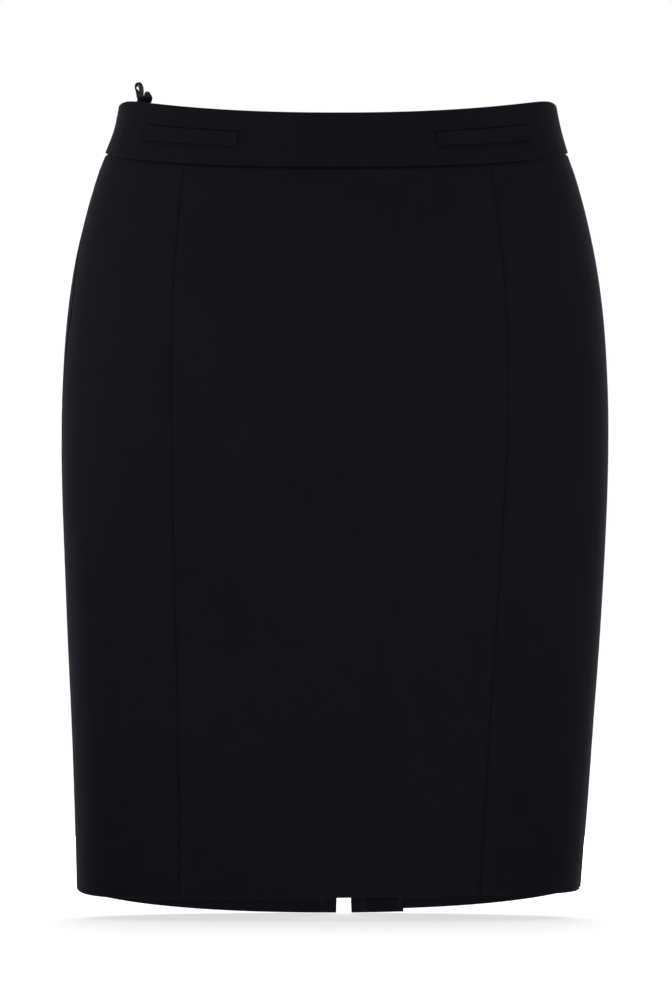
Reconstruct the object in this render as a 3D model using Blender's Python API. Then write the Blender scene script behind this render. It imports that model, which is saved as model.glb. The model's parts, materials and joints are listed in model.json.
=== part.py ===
"""A straight, knee-length pencil skirt of dark navy suiting, piece by piece as it is cut and sewn.

Metres, +Z up. The wearer faces -Y, so the wearer's right is at -X. The origin is the centre of the waist
opening, level with the top of the waistband at the sides, where the wearer's waist holds the skirt up.
Left and right in the names are the wearer's.

The cloth is a wall around rings of one form. A place on the form is a turn, the angle round the body
(0 at the centre front, +90 degrees at the wearer's left side, 180 at the centre back), and a height.
"""

import math
from collections import namedtuple

import bmesh
import bpy
from mathutils import Matrix, Vector

# ---------------------------------------------------------------- driving sizes
GAP = 0.0003  # between neighbouring pieces
HALF_GAP = GAP / 2
LINER_GAP = 0.0005  # between a panel's inner face and what lies inside it, with fewer facets
WALL = 0.0016  # shell cloth with its interfacing and turned edges
BAND_PROUD = 0.0008  # the waistband stands this far outside the panels
WELT_THICKNESS = 0.0010
TAPE_WALL = 0.0008
FACING_WALL = 0.0010

ROUNDNESS = 2.2  # exponent of the rings: 2 is an ellipse, more is squarer

# The form on a general figure: half the width, the middle's shift to the side, and the depth in front of
# and behind the side seams, at each height.
Section = namedtuple("Section", "height half_width middle front back")
FORM = (
    Section(0.012, 0.1450, 0.0000, 0.0815, 0.0855),
    Section(0.000, 0.1467, 0.0000, 0.0830, 0.0880),
    Section(-0.020, 0.1507, 0.0000, 0.0862, 0.0921),
    Section(-0.036, 0.1560, -0.0007, 0.0893, 0.0960),
    Section(-0.050, 0.1612, -0.0009, 0.0920, 0.1000),
    Section(-0.066, 0.1660, -0.0010, 0.0946, 0.1046),
    Section(-0.080, 0.1697, -0.0011, 0.0966, 0.1086),
    Section(-0.107, 0.1757, -0.0014, 0.0998, 0.1152),
    Section(-0.134, 0.1799, -0.0015, 0.1020, 0.1202),
    Section(-0.162, 0.1827, -0.0016, 0.1035, 0.1235),
    Section(-0.202, 0.1847, -0.0017, 0.1045, 0.1255),
    Section(-0.236, 0.1850, -0.0018, 0.1045, 0.1252),
    Section(-0.270, 0.1843, -0.0019, 0.1042, 0.1240),
    Section(-0.311, 0.1826, -0.0021, 0.1036, 0.1220),
    Section(-0.365, 0.1799, -0.0027, 0.1030, 0.1190),
    Section(-0.420, 0.1765, -0.0035, 0.1022, 0.1162),
    Section(-0.474, 0.1735, -0.0045, 0.1016, 0.1142),
    Section(-0.528, 0.1704, -0.0060, 0.1010, 0.1130),
    Section(-0.570, 0.1682, -0.0070, 0.1006, 0.1124),
)

# Where the front's princess seams run, as a share of the half width, on each side.
Princess = namedtuple("Princess", "height right left")
PRINCESS_SEAMS = (
    Princess(-0.030, 0.636, 0.645),
    Princess(-0.060, 0.624, 0.636),
    Princess(-0.100, 0.607, 0.631),
    Princess(-0.200, 0.589, 0.624),
    Princess(-0.300, 0.585, 0.609),
    Princess(-0.400, 0.585, 0.597),
    Princess(-0.560, 0.588, 0.595),
)

# Edge lines: the height at the sides, and how far the line dips at the centre front and back.
TOP_DIP_FRONT = 0.0148
TOP_DIP_BACK = 0.0040
TOP_DIP_SIDE = 0.0036  # the band's top edge is pulled down at its side seams
TOP_SIDE_REACH = 0.26
BAND_HEIGHT = 0.0356
WAIST_DIP_FRONT = 0.0159
WAIST_DIP_BACK = 0.0040
HEM_SIDE = -0.5322
HEM_DIP_FRONT = 0.0050
HEM_DIP_BACK = 0.0204
HEM_TILT_FRONT = 0.0025
HEM_SHORT_LEFT_BACK = 0.0022  # the left back is cut this much shorter at the slit

# Side seams.
RIGHT_SEAM_SWING = math.radians(13)  # over the hip the right side seam swings to the front
RIGHT_SEAM_SWING_HEIGHT = -0.140
RIGHT_SEAM_SWING_REACH = 0.065
LEFT_SEAM_BEHIND = math.radians(2)
LEFT_SEAM_HEM_SWING = math.radians(9)  # from the thigh to the hem the left one drifts to the front
LEFT_SEAM_HEM_TOP = -0.300
LEFT_SEAM_HEM_REACH = 0.235

# Centre back: seam, zip and walking slit.
BACK_SEAM_LEAN = 0.0110  # to the wearer's left of the middle, at the hem
BACK_SEAM_LENGTH = 0.552
SLIT_TOP = -0.385
SLIT_OPENING = 0.0111  # across, at the hem
FACING_WIDTH = 0.036
FACING_ABOVE_SLIT = 0.012

# Mock welts on the front of the band: shares of the half width, and of the band's height from its seam.
WELT_INNER = 0.428
WELT_OUTER = 0.840
WELT_LOW = 0.36
WELT_HIGH = 0.61

# Columns and rows of the walls.
PANEL_ROWS = [0.075 * i for i in range(8)] + [0.6 + i / 30 for i in range(13)]
BAND_ROWS = (0.0, WELT_LOW, WELT_HIGH, 1.0)
CENTRE_COLUMNS = 12
SIDE_COLUMNS = 8
BACK_COLUMNS = 14
WELT_COLUMNS = 4
BAND_CENTRE_COLUMNS = 8
BAND_SIDE_COLUMNS = 4

# Hanger loops of narrow tape.
LOOP_WIDTH = 0.0034
LOOP_THICKNESS = 0.0009
LOOP_CLEAR = 0.0006  # from the band's inner face, which is faceted and bends most at the side
LOOP_STEPS = 3  # points to each stretch between two stations

# Zip.
ZIP_BOTTOM = -0.205
ZIP_TOP_BELOW_BAND = 0.003
ZIP_TAPE_WIDTH = 0.0120
ZIP_TAPE_GAP = 0.0022
ZIP_TAPE_ROWS = 12
PULL_HEIGHT = -0.0130  # of the pull tab's pivot
PULL_STAND_OFF = 0.0013  # from the band's face to the pivot
PULL_LENGTH = 0.0200
PULL_THICKNESS = 0.0009
PULL_SHOULDER = 0.0022  # half widths of the tab: at its bar, at its waist and at its round tip
PULL_WAIST = 0.0017
PULL_TIP_RADIUS = 0.0026
PULL_SHOULDER_BELOW = 0.0034  # from the pivot down to the end of the shoulder and to the waist
PULL_WAIST_BELOW = 0.0060
PULL_EYE_HEIGHT = 0.00215
BAR_SIDE_PLAY = 0.0004  # between the stem and the eye, on each side
STEM_THICKNESS = 0.0014
STEM_RADIUS = 0.0017
STEM_HOLE_RADIUS = 0.00095
STEM_IN_SLIDER = 0.0010  # how far the stem's root goes into the slider's back plate
SLIDER_SIZE = Vector((0.0064, 0.0023, 0.0090))
SLIDER_INSET = 0.00385  # from the band's outer face to the slider's back plate
SLIDER_BELOW = 0.0010  # from the pivot down to the slider's middle
BAND_SLOT = Vector((0.0022, 0.0120, 0.0044))
BAND_SLOT_INWARD = 0.0030
CUTTER_LENGTH = 0.0040

NAVY = (0.0072, 0.0066, 0.0104, 1.0)
NAVY_INSIDE = (0.0064, 0.0060, 0.0092, 1.0)
BLACK_TAPE = (0.0050, 0.0050, 0.0054, 1.0)
DARK_METAL = (0.020, 0.020, 0.026, 1.0)


# ---------------------------------------------------------------- the form
def read_table(rows, height):
    """The table's row at a height, read from a smooth curve through its rows."""
    inner = next((i for i in range(1, len(rows) - 1) if rows[i].height < height), len(rows) - 1)
    above, below = rows[inner - 1], rows[inner]
    before, after = rows[max(inner - 2, 0)], rows[min(inner + 1, len(rows) - 1)]
    span = below.height - above.height
    t = (height - above.height) / span
    read = [height]
    for a, b, c, d in zip(before[1:], above[1:], below[1:], after[1:]):
        start = (c - a) / (below.height - before.height) * span
        end = (d - b) / (after.height - above.height) * span
        read.append(
            (2 * t**3 - 3 * t**2 + 1) * b
            + (t**3 - 2 * t**2 + t) * start
            + (3 * t**2 - 2 * t**3) * c
            + (t**3 - t**2) * end
        )
    return type(rows[0])(*read)


def unit_ring(turn):
    """How far across and how far ahead a turn lies on a ring of half width and depth 1."""
    across, ahead = math.sin(turn), math.cos(turn)
    reach = (abs(across) ** ROUNDNESS + abs(ahead) ** ROUNDNESS) ** (-1 / ROUNDNESS)
    return across * reach, ahead * reach


def turn_of_share(share):
    """The turn, on the front, whose place across is this share of the half width."""
    across = share**ROUNDNESS
    return math.atan((across / (1 - across)) ** (1 / ROUNDNESS))


def surface(turn, height, outward=0.0):
    """The point of the form at a turn and a height, moved outward along the ring's normal."""
    form = read_table(FORM, height)
    across, ahead = unit_ring(turn)
    depth = form.front if ahead > 0 else form.back
    normal = Vector(
        (
            math.copysign(abs(across) ** (ROUNDNESS - 1), across) / form.half_width,
            -math.copysign(abs(ahead) ** (ROUNDNESS - 1), ahead) / depth,
            0,
        )
    ).normalized()
    return Vector((form.middle + form.half_width * across, -depth * ahead, height)) + normal * outward


def along(turn, height, distance):
    """The turn that lies a distance further round the ring."""
    step = 0.001
    length = (surface(turn + step, height) - surface(turn - step, height)).length
    return turn + distance * 2 * step / length


# ---------------------------------------------------------------- edges and seams
def top_edge(turn):
    """Height of the waistband's top edge."""
    ahead = unit_ring(turn)[1]
    side = TOP_DIP_SIDE * math.exp(-((ahead / TOP_SIDE_REACH) ** 2))
    return -side - (TOP_DIP_FRONT * ahead**1.8 if ahead > 0 else TOP_DIP_BACK * ahead**2)


def waist_seam(turn):
    """Height of the seam between the waistband and the panels."""
    ahead = unit_ring(turn)[1]
    dip = WAIST_DIP_FRONT * ahead**1.27 if ahead > 0 else WAIST_DIP_BACK * ahead**2
    return -BAND_HEIGHT - dip


def hem_front(turn):
    """Height of the front's hem, which runs nearly level across the middle."""
    across, ahead = unit_ring(turn)
    ahead = max(ahead, 0)
    return HEM_SIDE - HEM_DIP_FRONT * (1 - (1 - ahead) ** 3) + HEM_TILT_FRONT * across * ahead


def hem_back(turn):
    """Height of the back's hem, which dips to the centre back."""
    behind = max(-unit_ring(turn)[1], 0)
    return HEM_SIDE - HEM_DIP_BACK * behind**1.25


def hem_back_left(turn):
    """Height of the left back's hem."""
    behind = max(-unit_ring(turn)[1], 0)
    return hem_back(turn) + HEM_SHORT_LEFT_BACK * behind**0.3


def princess_right(height):
    """Turn of the princess seam on the wearer's right."""
    return -turn_of_share(read_table(PRINCESS_SEAMS, height).right)


def princess_left(height):
    """Turn of the princess seam on the wearer's left."""
    return turn_of_share(read_table(PRINCESS_SEAMS, height).left)


def side_right(height):
    """Turn of the right side seam."""
    offset = (height - RIGHT_SEAM_SWING_HEIGHT) / RIGHT_SEAM_SWING_REACH
    return -math.pi / 2 + RIGHT_SEAM_SWING * math.exp(-(offset**2))


def side_left(height):
    """Turn of the left side seam."""
    share = min(max((LEFT_SEAM_HEM_TOP - height) / LEFT_SEAM_HEM_REACH, 0), 1)
    swing = LEFT_SEAM_HEM_SWING * share * share * (3 - 2 * share)
    return math.pi / 2 + LEFT_SEAM_BEHIND - swing


def centre_back(height):
    """Turn of the centre-back seam, from the wearer's left."""
    lean = BACK_SEAM_LEAN * max(-height, 0) / BACK_SEAM_LENGTH
    return math.pi - math.asin(lean / read_table(FORM, height).half_width)


def half_opening(height):
    """Half the distance between the two backs: the seam's gap, and below its top the slit's."""
    below = max(SLIT_TOP - height, 0) / (SLIT_TOP + BACK_SEAM_LENGTH)
    return HALF_GAP + (SLIT_OPENING / 2 - HALF_GAP) * below


def moved(line, distance):
    """A seam line moved round the ring by a distance."""
    return lambda height: along(line(height), height, distance)


def back_edge_left(height):
    """The left back's edge at the centre back."""
    return along(centre_back(height), height, -half_opening(height))


def back_edge_right(height):
    """The right back's edge at the centre back, counted round from the wearer's right."""
    return along(centre_back(height) - 2 * math.pi, height, half_opening(height))


def lowered(line, distance):
    """An edge line moved down by a distance, or up where it is negative."""
    return lambda turn: line(turn) - distance


def constant(value):
    """An edge line or a seam line that stays at one value."""
    return lambda _: value


def between(low, high, share):
    """The value at a share of the way from low to high."""
    return low + (high - low) * share


def spread(count):
    """Shares from 0 to 1 in equal steps."""
    return [i / count for i in range(count + 1)]


# ---------------------------------------------------------------- pieces
def material(name, colour, roughness, metallic=0.0):
    """A plain Principled material."""
    made = bpy.data.materials.new(name)
    made.use_nodes = True
    shader = made.node_tree.nodes["Principled BSDF"]
    shader.inputs["Base Color"].default_value = colour
    shader.inputs["Roughness"].default_value = roughness
    shader.inputs["Metallic"].default_value = metallic
    made.diffuse_color = colour
    return made


def add_object(name, mesh_data, finish):
    """A new object in the scene, from a bmesh, with its faces pointing outwards."""
    bmesh.ops.recalc_face_normals(mesh_data, faces=mesh_data.faces)
    mesh = bpy.data.meshes.new(name)
    mesh_data.to_mesh(mesh)
    mesh_data.free()
    mesh.materials.append(finish)
    made = bpy.data.objects.new(name, mesh)
    bpy.context.scene.collection.objects.link(made)
    return made


def wall(name, start, end, low, high, columns, rows, outer, inner, finish):
    """A closed wall of cloth between two seam lines and two edge lines, from inner to outer.

    start and end give a turn for a height, low and high a height for a turn; columns and rows are
    shares of the way between them; outer and inner are distances outward from the form.
    """
    made = bmesh.new()

    def place(column, row):
        height = between(low(start(-0.3)), high(start(-0.3)), row)
        for _ in range(4):
            turn = between(start(height), end(height), column)
            height = between(low(turn), high(turn), row)
        return turn, height

    places = [[place(column, row) for column in columns] for row in rows]
    faces = [[[made.verts.new(surface(*at, out)) for at in row] for row in places] for out in (outer, inner)]
    for sheet in faces:
        for below, above in zip(sheet, sheet[1:]):
            for i in range(len(columns) - 1):
                made.faces.new((below[i], below[i + 1], above[i + 1], above[i]))
    outside, inside = faces
    rims = (
        (outside[0], inside[0]),
        (outside[-1], inside[-1]),
        ([row[0] for row in outside], [row[0] for row in inside]),
        ([row[-1] for row in outside], [row[-1] for row in inside]),
    )
    for out, back in rims:
        for i in range(len(out) - 1):
            made.faces.new((out[i], out[i + 1], back[i + 1], back[i]))
    return add_object(name, made, finish)


def panel(name, start, end, hem, columns, finish):
    """A cut panel, from its hem to the waist seam, with half the seam's gap on each side."""
    top = lowered(waist_seam, HALF_GAP)
    return wall(name, start, end, hem, top, spread(columns), PANEL_ROWS, 0.0, -WALL, finish)


def add_panels(finish):
    """The five panels."""
    panel(
        "front_centre_panel",
        moved(princess_right, HALF_GAP),
        moved(princess_left, -HALF_GAP),
        hem_front,
        CENTRE_COLUMNS,
        finish,
    )
    panel(
        "front_side_panel_right",
        moved(side_right, HALF_GAP),
        moved(princess_right, -HALF_GAP),
        hem_front,
        SIDE_COLUMNS,
        finish,
    )
    panel(
        "front_side_panel_left",
        moved(princess_left, HALF_GAP),
        moved(side_left, -HALF_GAP),
        hem_front,
        SIDE_COLUMNS,
        finish,
    )
    panel(
        "back_panel_right",
        back_edge_right,
        moved(side_right, -HALF_GAP),
        hem_back,
        BACK_COLUMNS,
        finish,
    )
    panel(
        "back_panel_left",
        moved(side_left, HALF_GAP),
        back_edge_left,
        hem_back_left,
        BACK_COLUMNS,
        finish,
    )


def band_front_columns():
    """Shares across the front band, with columns on the welts' ends, and the shares of the welts."""
    inner, outer = turn_of_share(WELT_INNER), turn_of_share(WELT_OUTER)
    reach = math.pi / 2

    def share(turn):
        return (turn + reach) / (2 * reach)

    def stretch(start, end, count):
        return [between(share(start), share(end), i / count) for i in range(count)]

    right = stretch(-outer, -inner, WELT_COLUMNS)
    left = stretch(inner, outer, WELT_COLUMNS)
    columns = (
        stretch(-reach, -outer, BAND_SIDE_COLUMNS)
        + right
        + stretch(-inner, inner, BAND_CENTRE_COLUMNS)
        + left
        + stretch(outer, reach, BAND_SIDE_COLUMNS)
        + [1.0]
    )
    return columns, right + [share(-inner)], left + [share(outer)]


def add_waistband(finish):
    """The shaped waistband in three pieces, and the two welts that lie on its front."""
    low, high = lowered(waist_seam, -HALF_GAP), top_edge
    right, left = constant(-math.pi / 2), constant(math.pi / 2)
    columns, welt_right, welt_left = band_front_columns()
    front = (moved(right, HALF_GAP), moved(left, -HALF_GAP), low, high)
    wall("waistband_front", *front, columns, BAND_ROWS, BAND_PROUD, -WALL, finish)
    under = BAND_PROUD + GAP
    for name, shares in (("welt_right", welt_right), ("welt_left", welt_left)):
        wall(name, *front, shares, (WELT_LOW, WELT_HIGH), under + WELT_THICKNESS, under, finish)
    backs = (
        ("waistband_back_right", back_edge_right, moved(right, -HALF_GAP)),
        ("waistband_back_left", moved(left, HALF_GAP), back_edge_left),
    )
    slot = slot_cutter(finish)
    for name, start, end in backs:
        made = wall(name, start, end, low, high, spread(BACK_COLUMNS), BAND_ROWS, BAND_PROUD, -WALL, finish)
        boolean(made, slot, "DIFFERENCE")


def add_slit_facing(finish):
    """The turned-in facing along the left side of the walking slit, as long as the right back's hem."""
    wall(
        "slit_facing_left",
        moved(back_edge_left, -FACING_WIDTH),
        back_edge_left,
        hem_back,
        constant(SLIT_TOP + FACING_ABOVE_SLIT),
        spread(3),
        spread(6),
        -WALL - LINER_GAP,
        -WALL - LINER_GAP - FACING_WALL,
        finish,
    )


def add_zip_tapes(finish):
    """The two zip tapes, inside the backs from just under the band's top edge."""
    near, far = ZIP_TAPE_GAP / 2, ZIP_TAPE_GAP / 2 + ZIP_TAPE_WIDTH
    out = -WALL - LINER_GAP
    edges = (constant(ZIP_BOTTOM), lowered(top_edge, ZIP_TOP_BELOW_BAND), spread(1), spread(ZIP_TAPE_ROWS))
    left = (moved(centre_back, -far), moved(centre_back, -near))
    wall("zip_tape_left", *left, *edges, out, out - TAPE_WALL, finish)

    def from_right(height):
        return centre_back(height) - 2 * math.pi

    right = (moved(from_right, near), moved(from_right, far))
    wall("zip_tape_right", *right, *edges, out, out - TAPE_WALL, finish)


# ---------------------------------------------------------------- hanger loops
Station = namedtuple("Station", "x y z twist")  # twist: 0, the tape's width lies along Y; 90, along X
# Above the waist seam the tapes stand free, lean inwards and twist.
TALL_LOOP = (
    Station(-0.1425, -0.0045, -0.0110, 0),
    Station(-0.1353, -0.0048, -0.0012, 20),
    Station(-0.1352, -0.0047, 0.0024, 30),
    Station(-0.1356, -0.0044, 0.0058, 38),
    Station(-0.1368, -0.0041, 0.0083, 14),
    Station(-0.1362, -0.0036, 0.0103, 36),
    Station(-0.1346, -0.0031, 0.0109, 72),
    Station(-0.1333, -0.0027, 0.0092, 72),
    Station(-0.1329, -0.0022, 0.0062, 70),
    Station(-0.1331, -0.0015, 0.0028, 70),
    Station(-0.1335, -0.0006, -0.0012, 70),
    Station(-0.1405, 0.0003, -0.0105, 35),
)
LOW_LOOP = (
    Station(-0.1392, 0.0064, -0.0125, 40),
    Station(-0.1314, 0.0046, -0.0035, 80),
    Station(-0.1303, 0.0034, 0.0012, 88),
    Station(-0.1299, 0.0031, 0.0035, 62),
    Station(-0.1293, 0.0042, 0.0051, 34),
    Station(-0.1282, 0.0058, 0.0041, 60),
    Station(-0.1277, 0.0072, 0.0008, 88),
    Station(-0.1335, 0.0092, -0.0075, 60),
    Station(-0.1425, 0.0108, -0.0160, 20),
)
# Where the tapes are sewn against the band, and how far they have come away from it there.
Sewn = namedtuple("Sewn", "height lift")
SEWN_ENDS = (Sewn(-0.0310, 0.0), Sewn(-0.0265, 0.0002), Sewn(-0.0220, 0.0009))


def sewn_stations(offset):
    """The lowest stations of a tape, on the band's inner face, at a distance behind the right side."""
    inward = WALL + LOOP_CLEAR + LOOP_THICKNESS / 2
    stations = []
    for height, lift in SEWN_ENDS:
        at = surface(along(-math.pi / 2, height, -offset), height, -inward - lift)
        stations.append(Station(*at, 0))
    return stations


def smooth_line(stations, steps):
    """A Catmull-Rom curve through the stations, twist included."""
    line = []
    for i in range(len(stations) - 1):
        a, b = stations[max(i - 1, 0)], stations[i]
        c, d = stations[i + 1], stations[min(i + 2, len(stations) - 1)]
        for k in range(steps):
            t = k / steps
            point = [
                q
                + 0.5 * t * (r - p)
                + 0.5 * t**2 * (2 * p - 5 * q + 4 * r - s)
                + 0.5 * t**3 * (3 * q - p - 3 * r + s)
                for p, q, r, s in zip(a, b, c, d)
            ]
            line.append(Station(*point))
    return line + [stations[-1]]


def add_loop(name, free, near_offset, far_offset, finish):
    """A loop of tape: up from its first sewn end, through its free stations, down to the other."""
    stations = sewn_stations(near_offset) + list(free) + sewn_stations(far_offset)[::-1]
    line = smooth_line(stations, LOOP_STEPS)
    made = bmesh.new()
    rings = []
    for i, station in enumerate(line):
        before, after = line[max(i - 1, 0)], line[min(i + 1, len(line) - 1)]
        forward = (Vector(after[:3]) - Vector(before[:3])).normalized()
        twist = math.radians(station.twist)
        width = Vector((math.sin(twist), math.cos(twist), 0))
        width = (width - forward * width.dot(forward)).normalized() * LOOP_WIDTH / 2
        thick = forward.cross(width).normalized() * LOOP_THICKNESS / 2
        centre = Vector(station[:3])
        corners = (width + thick, -width + thick, -width - thick, width - thick)
        rings.append([made.verts.new(centre + corner) for corner in corners])
    for ring, following in zip(rings, rings[1:]):
        for k in range(4):
            made.faces.new((ring[k], ring[(k + 1) % 4], following[(k + 1) % 4], following[k]))
    made.faces.new(rings[0])
    made.faces.new(rings[-1])
    return add_object(name, made, finish)


# ---------------------------------------------------------------- zip slider and pull tab
def pivot():
    """The pull tab's pivot, and the slope at which the tab hangs against the band."""
    face, turn = BAND_PROUD, centre_back(PULL_HEIGHT)
    top = surface(turn, PULL_HEIGHT, face)
    foot = surface(centre_back(PULL_HEIGHT - PULL_LENGTH), PULL_HEIGHT - PULL_LENGTH, face)
    slope = math.atan2(foot.y - top.y, PULL_LENGTH)
    out = Vector((0, math.cos(slope), math.sin(slope)))
    return top + out * PULL_STAND_OFF, slope


def block(name, size, centre, finish):
    """A box at a place in the pull's own frame: X across, Y out of the cloth, Z up along it."""
    made = bmesh.new()
    bmesh.ops.create_cube(made, size=1, matrix=Matrix.Translation(centre) @ Matrix.Diagonal((*size, 1)))
    return set_on_pivot(add_object(name, made, finish))


def plate(name, outline, axis, thickness, finish):
    """A flat plate: an outline of (a, z) pairs, extruded along X or Y, centred on its own plane."""
    made = bmesh.new()
    half = thickness / 2
    corners = [made.verts.new((-half, a, z) if axis == "X" else (a, -half, z)) for a, z in outline]
    face = made.faces.new(corners)
    extruded = bmesh.ops.extrude_face_region(made, geom=[face])
    new = [v for v in extruded["geom"] if isinstance(v, bmesh.types.BMVert)]
    push = Vector((thickness, 0, 0)) if axis == "X" else Vector((0, thickness, 0))
    bmesh.ops.translate(made, verts=new, vec=push)
    return set_on_pivot(add_object(name, made, finish))


def set_on_pivot(made):
    """Puts an object's origin on the pivot, with its Z up along the band's slope."""
    at, slope = pivot()
    made.location = at
    made.rotation_euler = (slope, 0, 0)
    return made


def arc(centre_a, centre_z, radius, start, end, steps):
    """Points of an arc, with its angles in degrees from +a towards +z."""
    angles = [math.radians(between(start, end, i / steps)) for i in range(steps + 1)]
    return [(centre_a + radius * math.cos(t), centre_z + radius * math.sin(t)) for t in angles]


def guide(made):
    """Marks an object as a cutter or a guide."""
    made.hide_render = True
    made.display_type = "WIRE"
    return made


def boolean(made, other, operation):
    """An exact Boolean with a guide object."""
    modifier = made.modifiers.new(operation.title(), "BOOLEAN")
    modifier.operation = operation
    modifier.solver = "EXACT"
    modifier.object = other


def slot_cutter(finish):
    """The slot between the two ends of the band, through which the slider's stem stands out."""
    return guide(block("cutter_band_slot", BAND_SLOT, Vector((0, -BAND_SLOT_INWARD, 0)), finish))


def add_zip_slider(finish):
    """The slider behind the zip, with the stem that carries the pull tab's bar."""
    face = PULL_STAND_OFF + SLIDER_INSET
    root = -face - STEM_IN_SLIDER
    body = Vector((0, -face - SLIDER_SIZE.y / 2, -SLIDER_BELOW))
    slider = block("zip_slider", SLIDER_SIZE, body, finish)
    outline = arc(0, 0, STEM_RADIUS, -90, 90, 8) + [(root, STEM_RADIUS), (root, -STEM_RADIUS)]
    stem = guide(plate("guide_stem", outline, "X", STEM_THICKNESS, finish))
    bore = arc(0, 0, STEM_HOLE_RADIUS, 0, 330, 11)
    hole = guide(plate("cutter_stem_hole", bore, "X", CUTTER_LENGTH, finish))
    boolean(slider, stem, "UNION")
    boolean(slider, hole, "DIFFERENCE")


def add_pull_tab(finish):
    """The pull tab, a drop-shaped plate whose top bar turns in the stem's hole."""
    bar = PULL_THICKNESS / 2
    shoulder = [(PULL_SHOULDER, bar), (PULL_SHOULDER, -PULL_SHOULDER_BELOW), (PULL_WAIST, -PULL_WAIST_BELOW)]
    outline = [(-a, z) for a, z in shoulder]
    outline += arc(0, -PULL_LENGTH + PULL_TIP_RADIUS, PULL_TIP_RADIUS, 180, 360, 8)
    outline += shoulder[::-1]
    tab = plate("zip_pull_tab", outline, "Y", PULL_THICKNESS, finish)
    eye = Vector((STEM_THICKNESS + 2 * BAR_SIDE_PLAY, CUTTER_LENGTH, PULL_EYE_HEIGHT))
    cutter = guide(block("cutter_pull_eye", eye, Vector((0, 0, -bar - eye.z / 2)), finish))
    boolean(tab, cutter, "DIFFERENCE")


def main():
    """Clears the scene and builds the skirt."""
    for old in list(bpy.data.objects):
        bpy.data.objects.remove(old)
    suiting = material("navy_suiting", NAVY, 0.72)
    turned = material("navy_turned_cloth", NAVY_INSIDE, 0.80)
    tape = material("black_tape", BLACK_TAPE, 0.45)
    metal = material("dark_metal", DARK_METAL, 0.35, metallic=0.9)
    add_panels(suiting)
    add_waistband(suiting)
    add_slit_facing(turned)
    add_zip_tapes(turned)
    add_loop("hanger_loop_tall", TALL_LOOP, -0.0035, 0.0018, tape)
    add_loop("hanger_loop_low", LOW_LOOP, 0.0075, 0.0125, tape)
    add_zip_slider(metal)
    add_pull_tab(metal)


main()
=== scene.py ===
"""The looks of a straight pencil skirt of dark navy suiting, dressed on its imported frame.

Metres, +Z up, in the frame's own axes. The wearer faces -Y and their right is at -X. The origin is the
centre of the waist opening. A place on the skirt is a turn round the body (0 at the centre front, a
quarter turn at the wearer's left side, a half turn at the centre back) and a height. Every sheet of cloth
is a grid of such places, between two seams and two edges, with what is turned in round it.
"""

import json
import logging
import math
from collections.abc import Callable, Sequence
from dataclasses import dataclass, field, replace
from enum import Enum
from typing import NamedTuple

import bmesh
import bpy
import numpy as np
from mathutils import Matrix, Vector


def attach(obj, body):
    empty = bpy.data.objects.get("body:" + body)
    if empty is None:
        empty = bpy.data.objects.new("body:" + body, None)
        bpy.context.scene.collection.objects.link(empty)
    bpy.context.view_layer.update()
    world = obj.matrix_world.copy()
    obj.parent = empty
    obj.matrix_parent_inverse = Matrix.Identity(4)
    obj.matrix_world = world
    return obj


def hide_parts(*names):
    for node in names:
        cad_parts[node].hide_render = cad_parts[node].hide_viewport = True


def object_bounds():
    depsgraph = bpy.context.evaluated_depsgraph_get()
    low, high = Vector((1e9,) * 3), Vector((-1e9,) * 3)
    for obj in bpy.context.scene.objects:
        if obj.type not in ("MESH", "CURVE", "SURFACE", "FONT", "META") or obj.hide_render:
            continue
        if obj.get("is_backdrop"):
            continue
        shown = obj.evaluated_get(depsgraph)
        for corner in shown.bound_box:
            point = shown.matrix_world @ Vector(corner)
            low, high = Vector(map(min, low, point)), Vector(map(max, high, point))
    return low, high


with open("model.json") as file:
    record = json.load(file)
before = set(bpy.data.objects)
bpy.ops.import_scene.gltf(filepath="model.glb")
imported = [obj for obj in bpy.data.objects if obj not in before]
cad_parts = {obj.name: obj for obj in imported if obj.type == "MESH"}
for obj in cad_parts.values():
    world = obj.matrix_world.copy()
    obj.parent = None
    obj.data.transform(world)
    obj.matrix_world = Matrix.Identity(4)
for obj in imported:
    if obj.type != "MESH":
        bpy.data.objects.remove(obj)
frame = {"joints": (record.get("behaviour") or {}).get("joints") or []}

Grid = np.ndarray
Line = Callable[[Grid], Grid]
Colour = tuple[float, float, float]
Size = tuple[float, float, float]
Place = tuple[float, float, float]

log = logging.getLogger("pencil_skirt")

QUARTER = math.pi / 2


class Body(str, Enum):
    """The frame's bodies that pieces ride on."""

    SKIRT = "skirt"
    PULL_TAB = "pull_tab"


class Slot(str, Enum):
    """The record's material slots."""

    SUITING = "suiting"
    TURNED = "turned_cloth"
    ZIP_TAPE = "zip_tape"
    LOOP_TAPE = "loop_tape"
    METAL = "dark_metal"


class Side(Enum):
    """The wearer's sides, with the sign of X there."""

    RIGHT = -1
    LEFT = 1

    @property
    def word(self) -> str:
        """The side's name in lower case."""
        return self.name.lower()


# ---------------------------------------------------------------- the form
class Section(NamedTuple):
    """The form at one height: half its width, its middle's shift, and its depth in front and behind."""

    height: float
    half_width: float
    middle: float
    front: float
    back: float


class SeamShare(NamedTuple):
    """Where the princess seams lie at one height, as shares of the half width."""

    height: float
    right: float
    left: float


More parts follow.
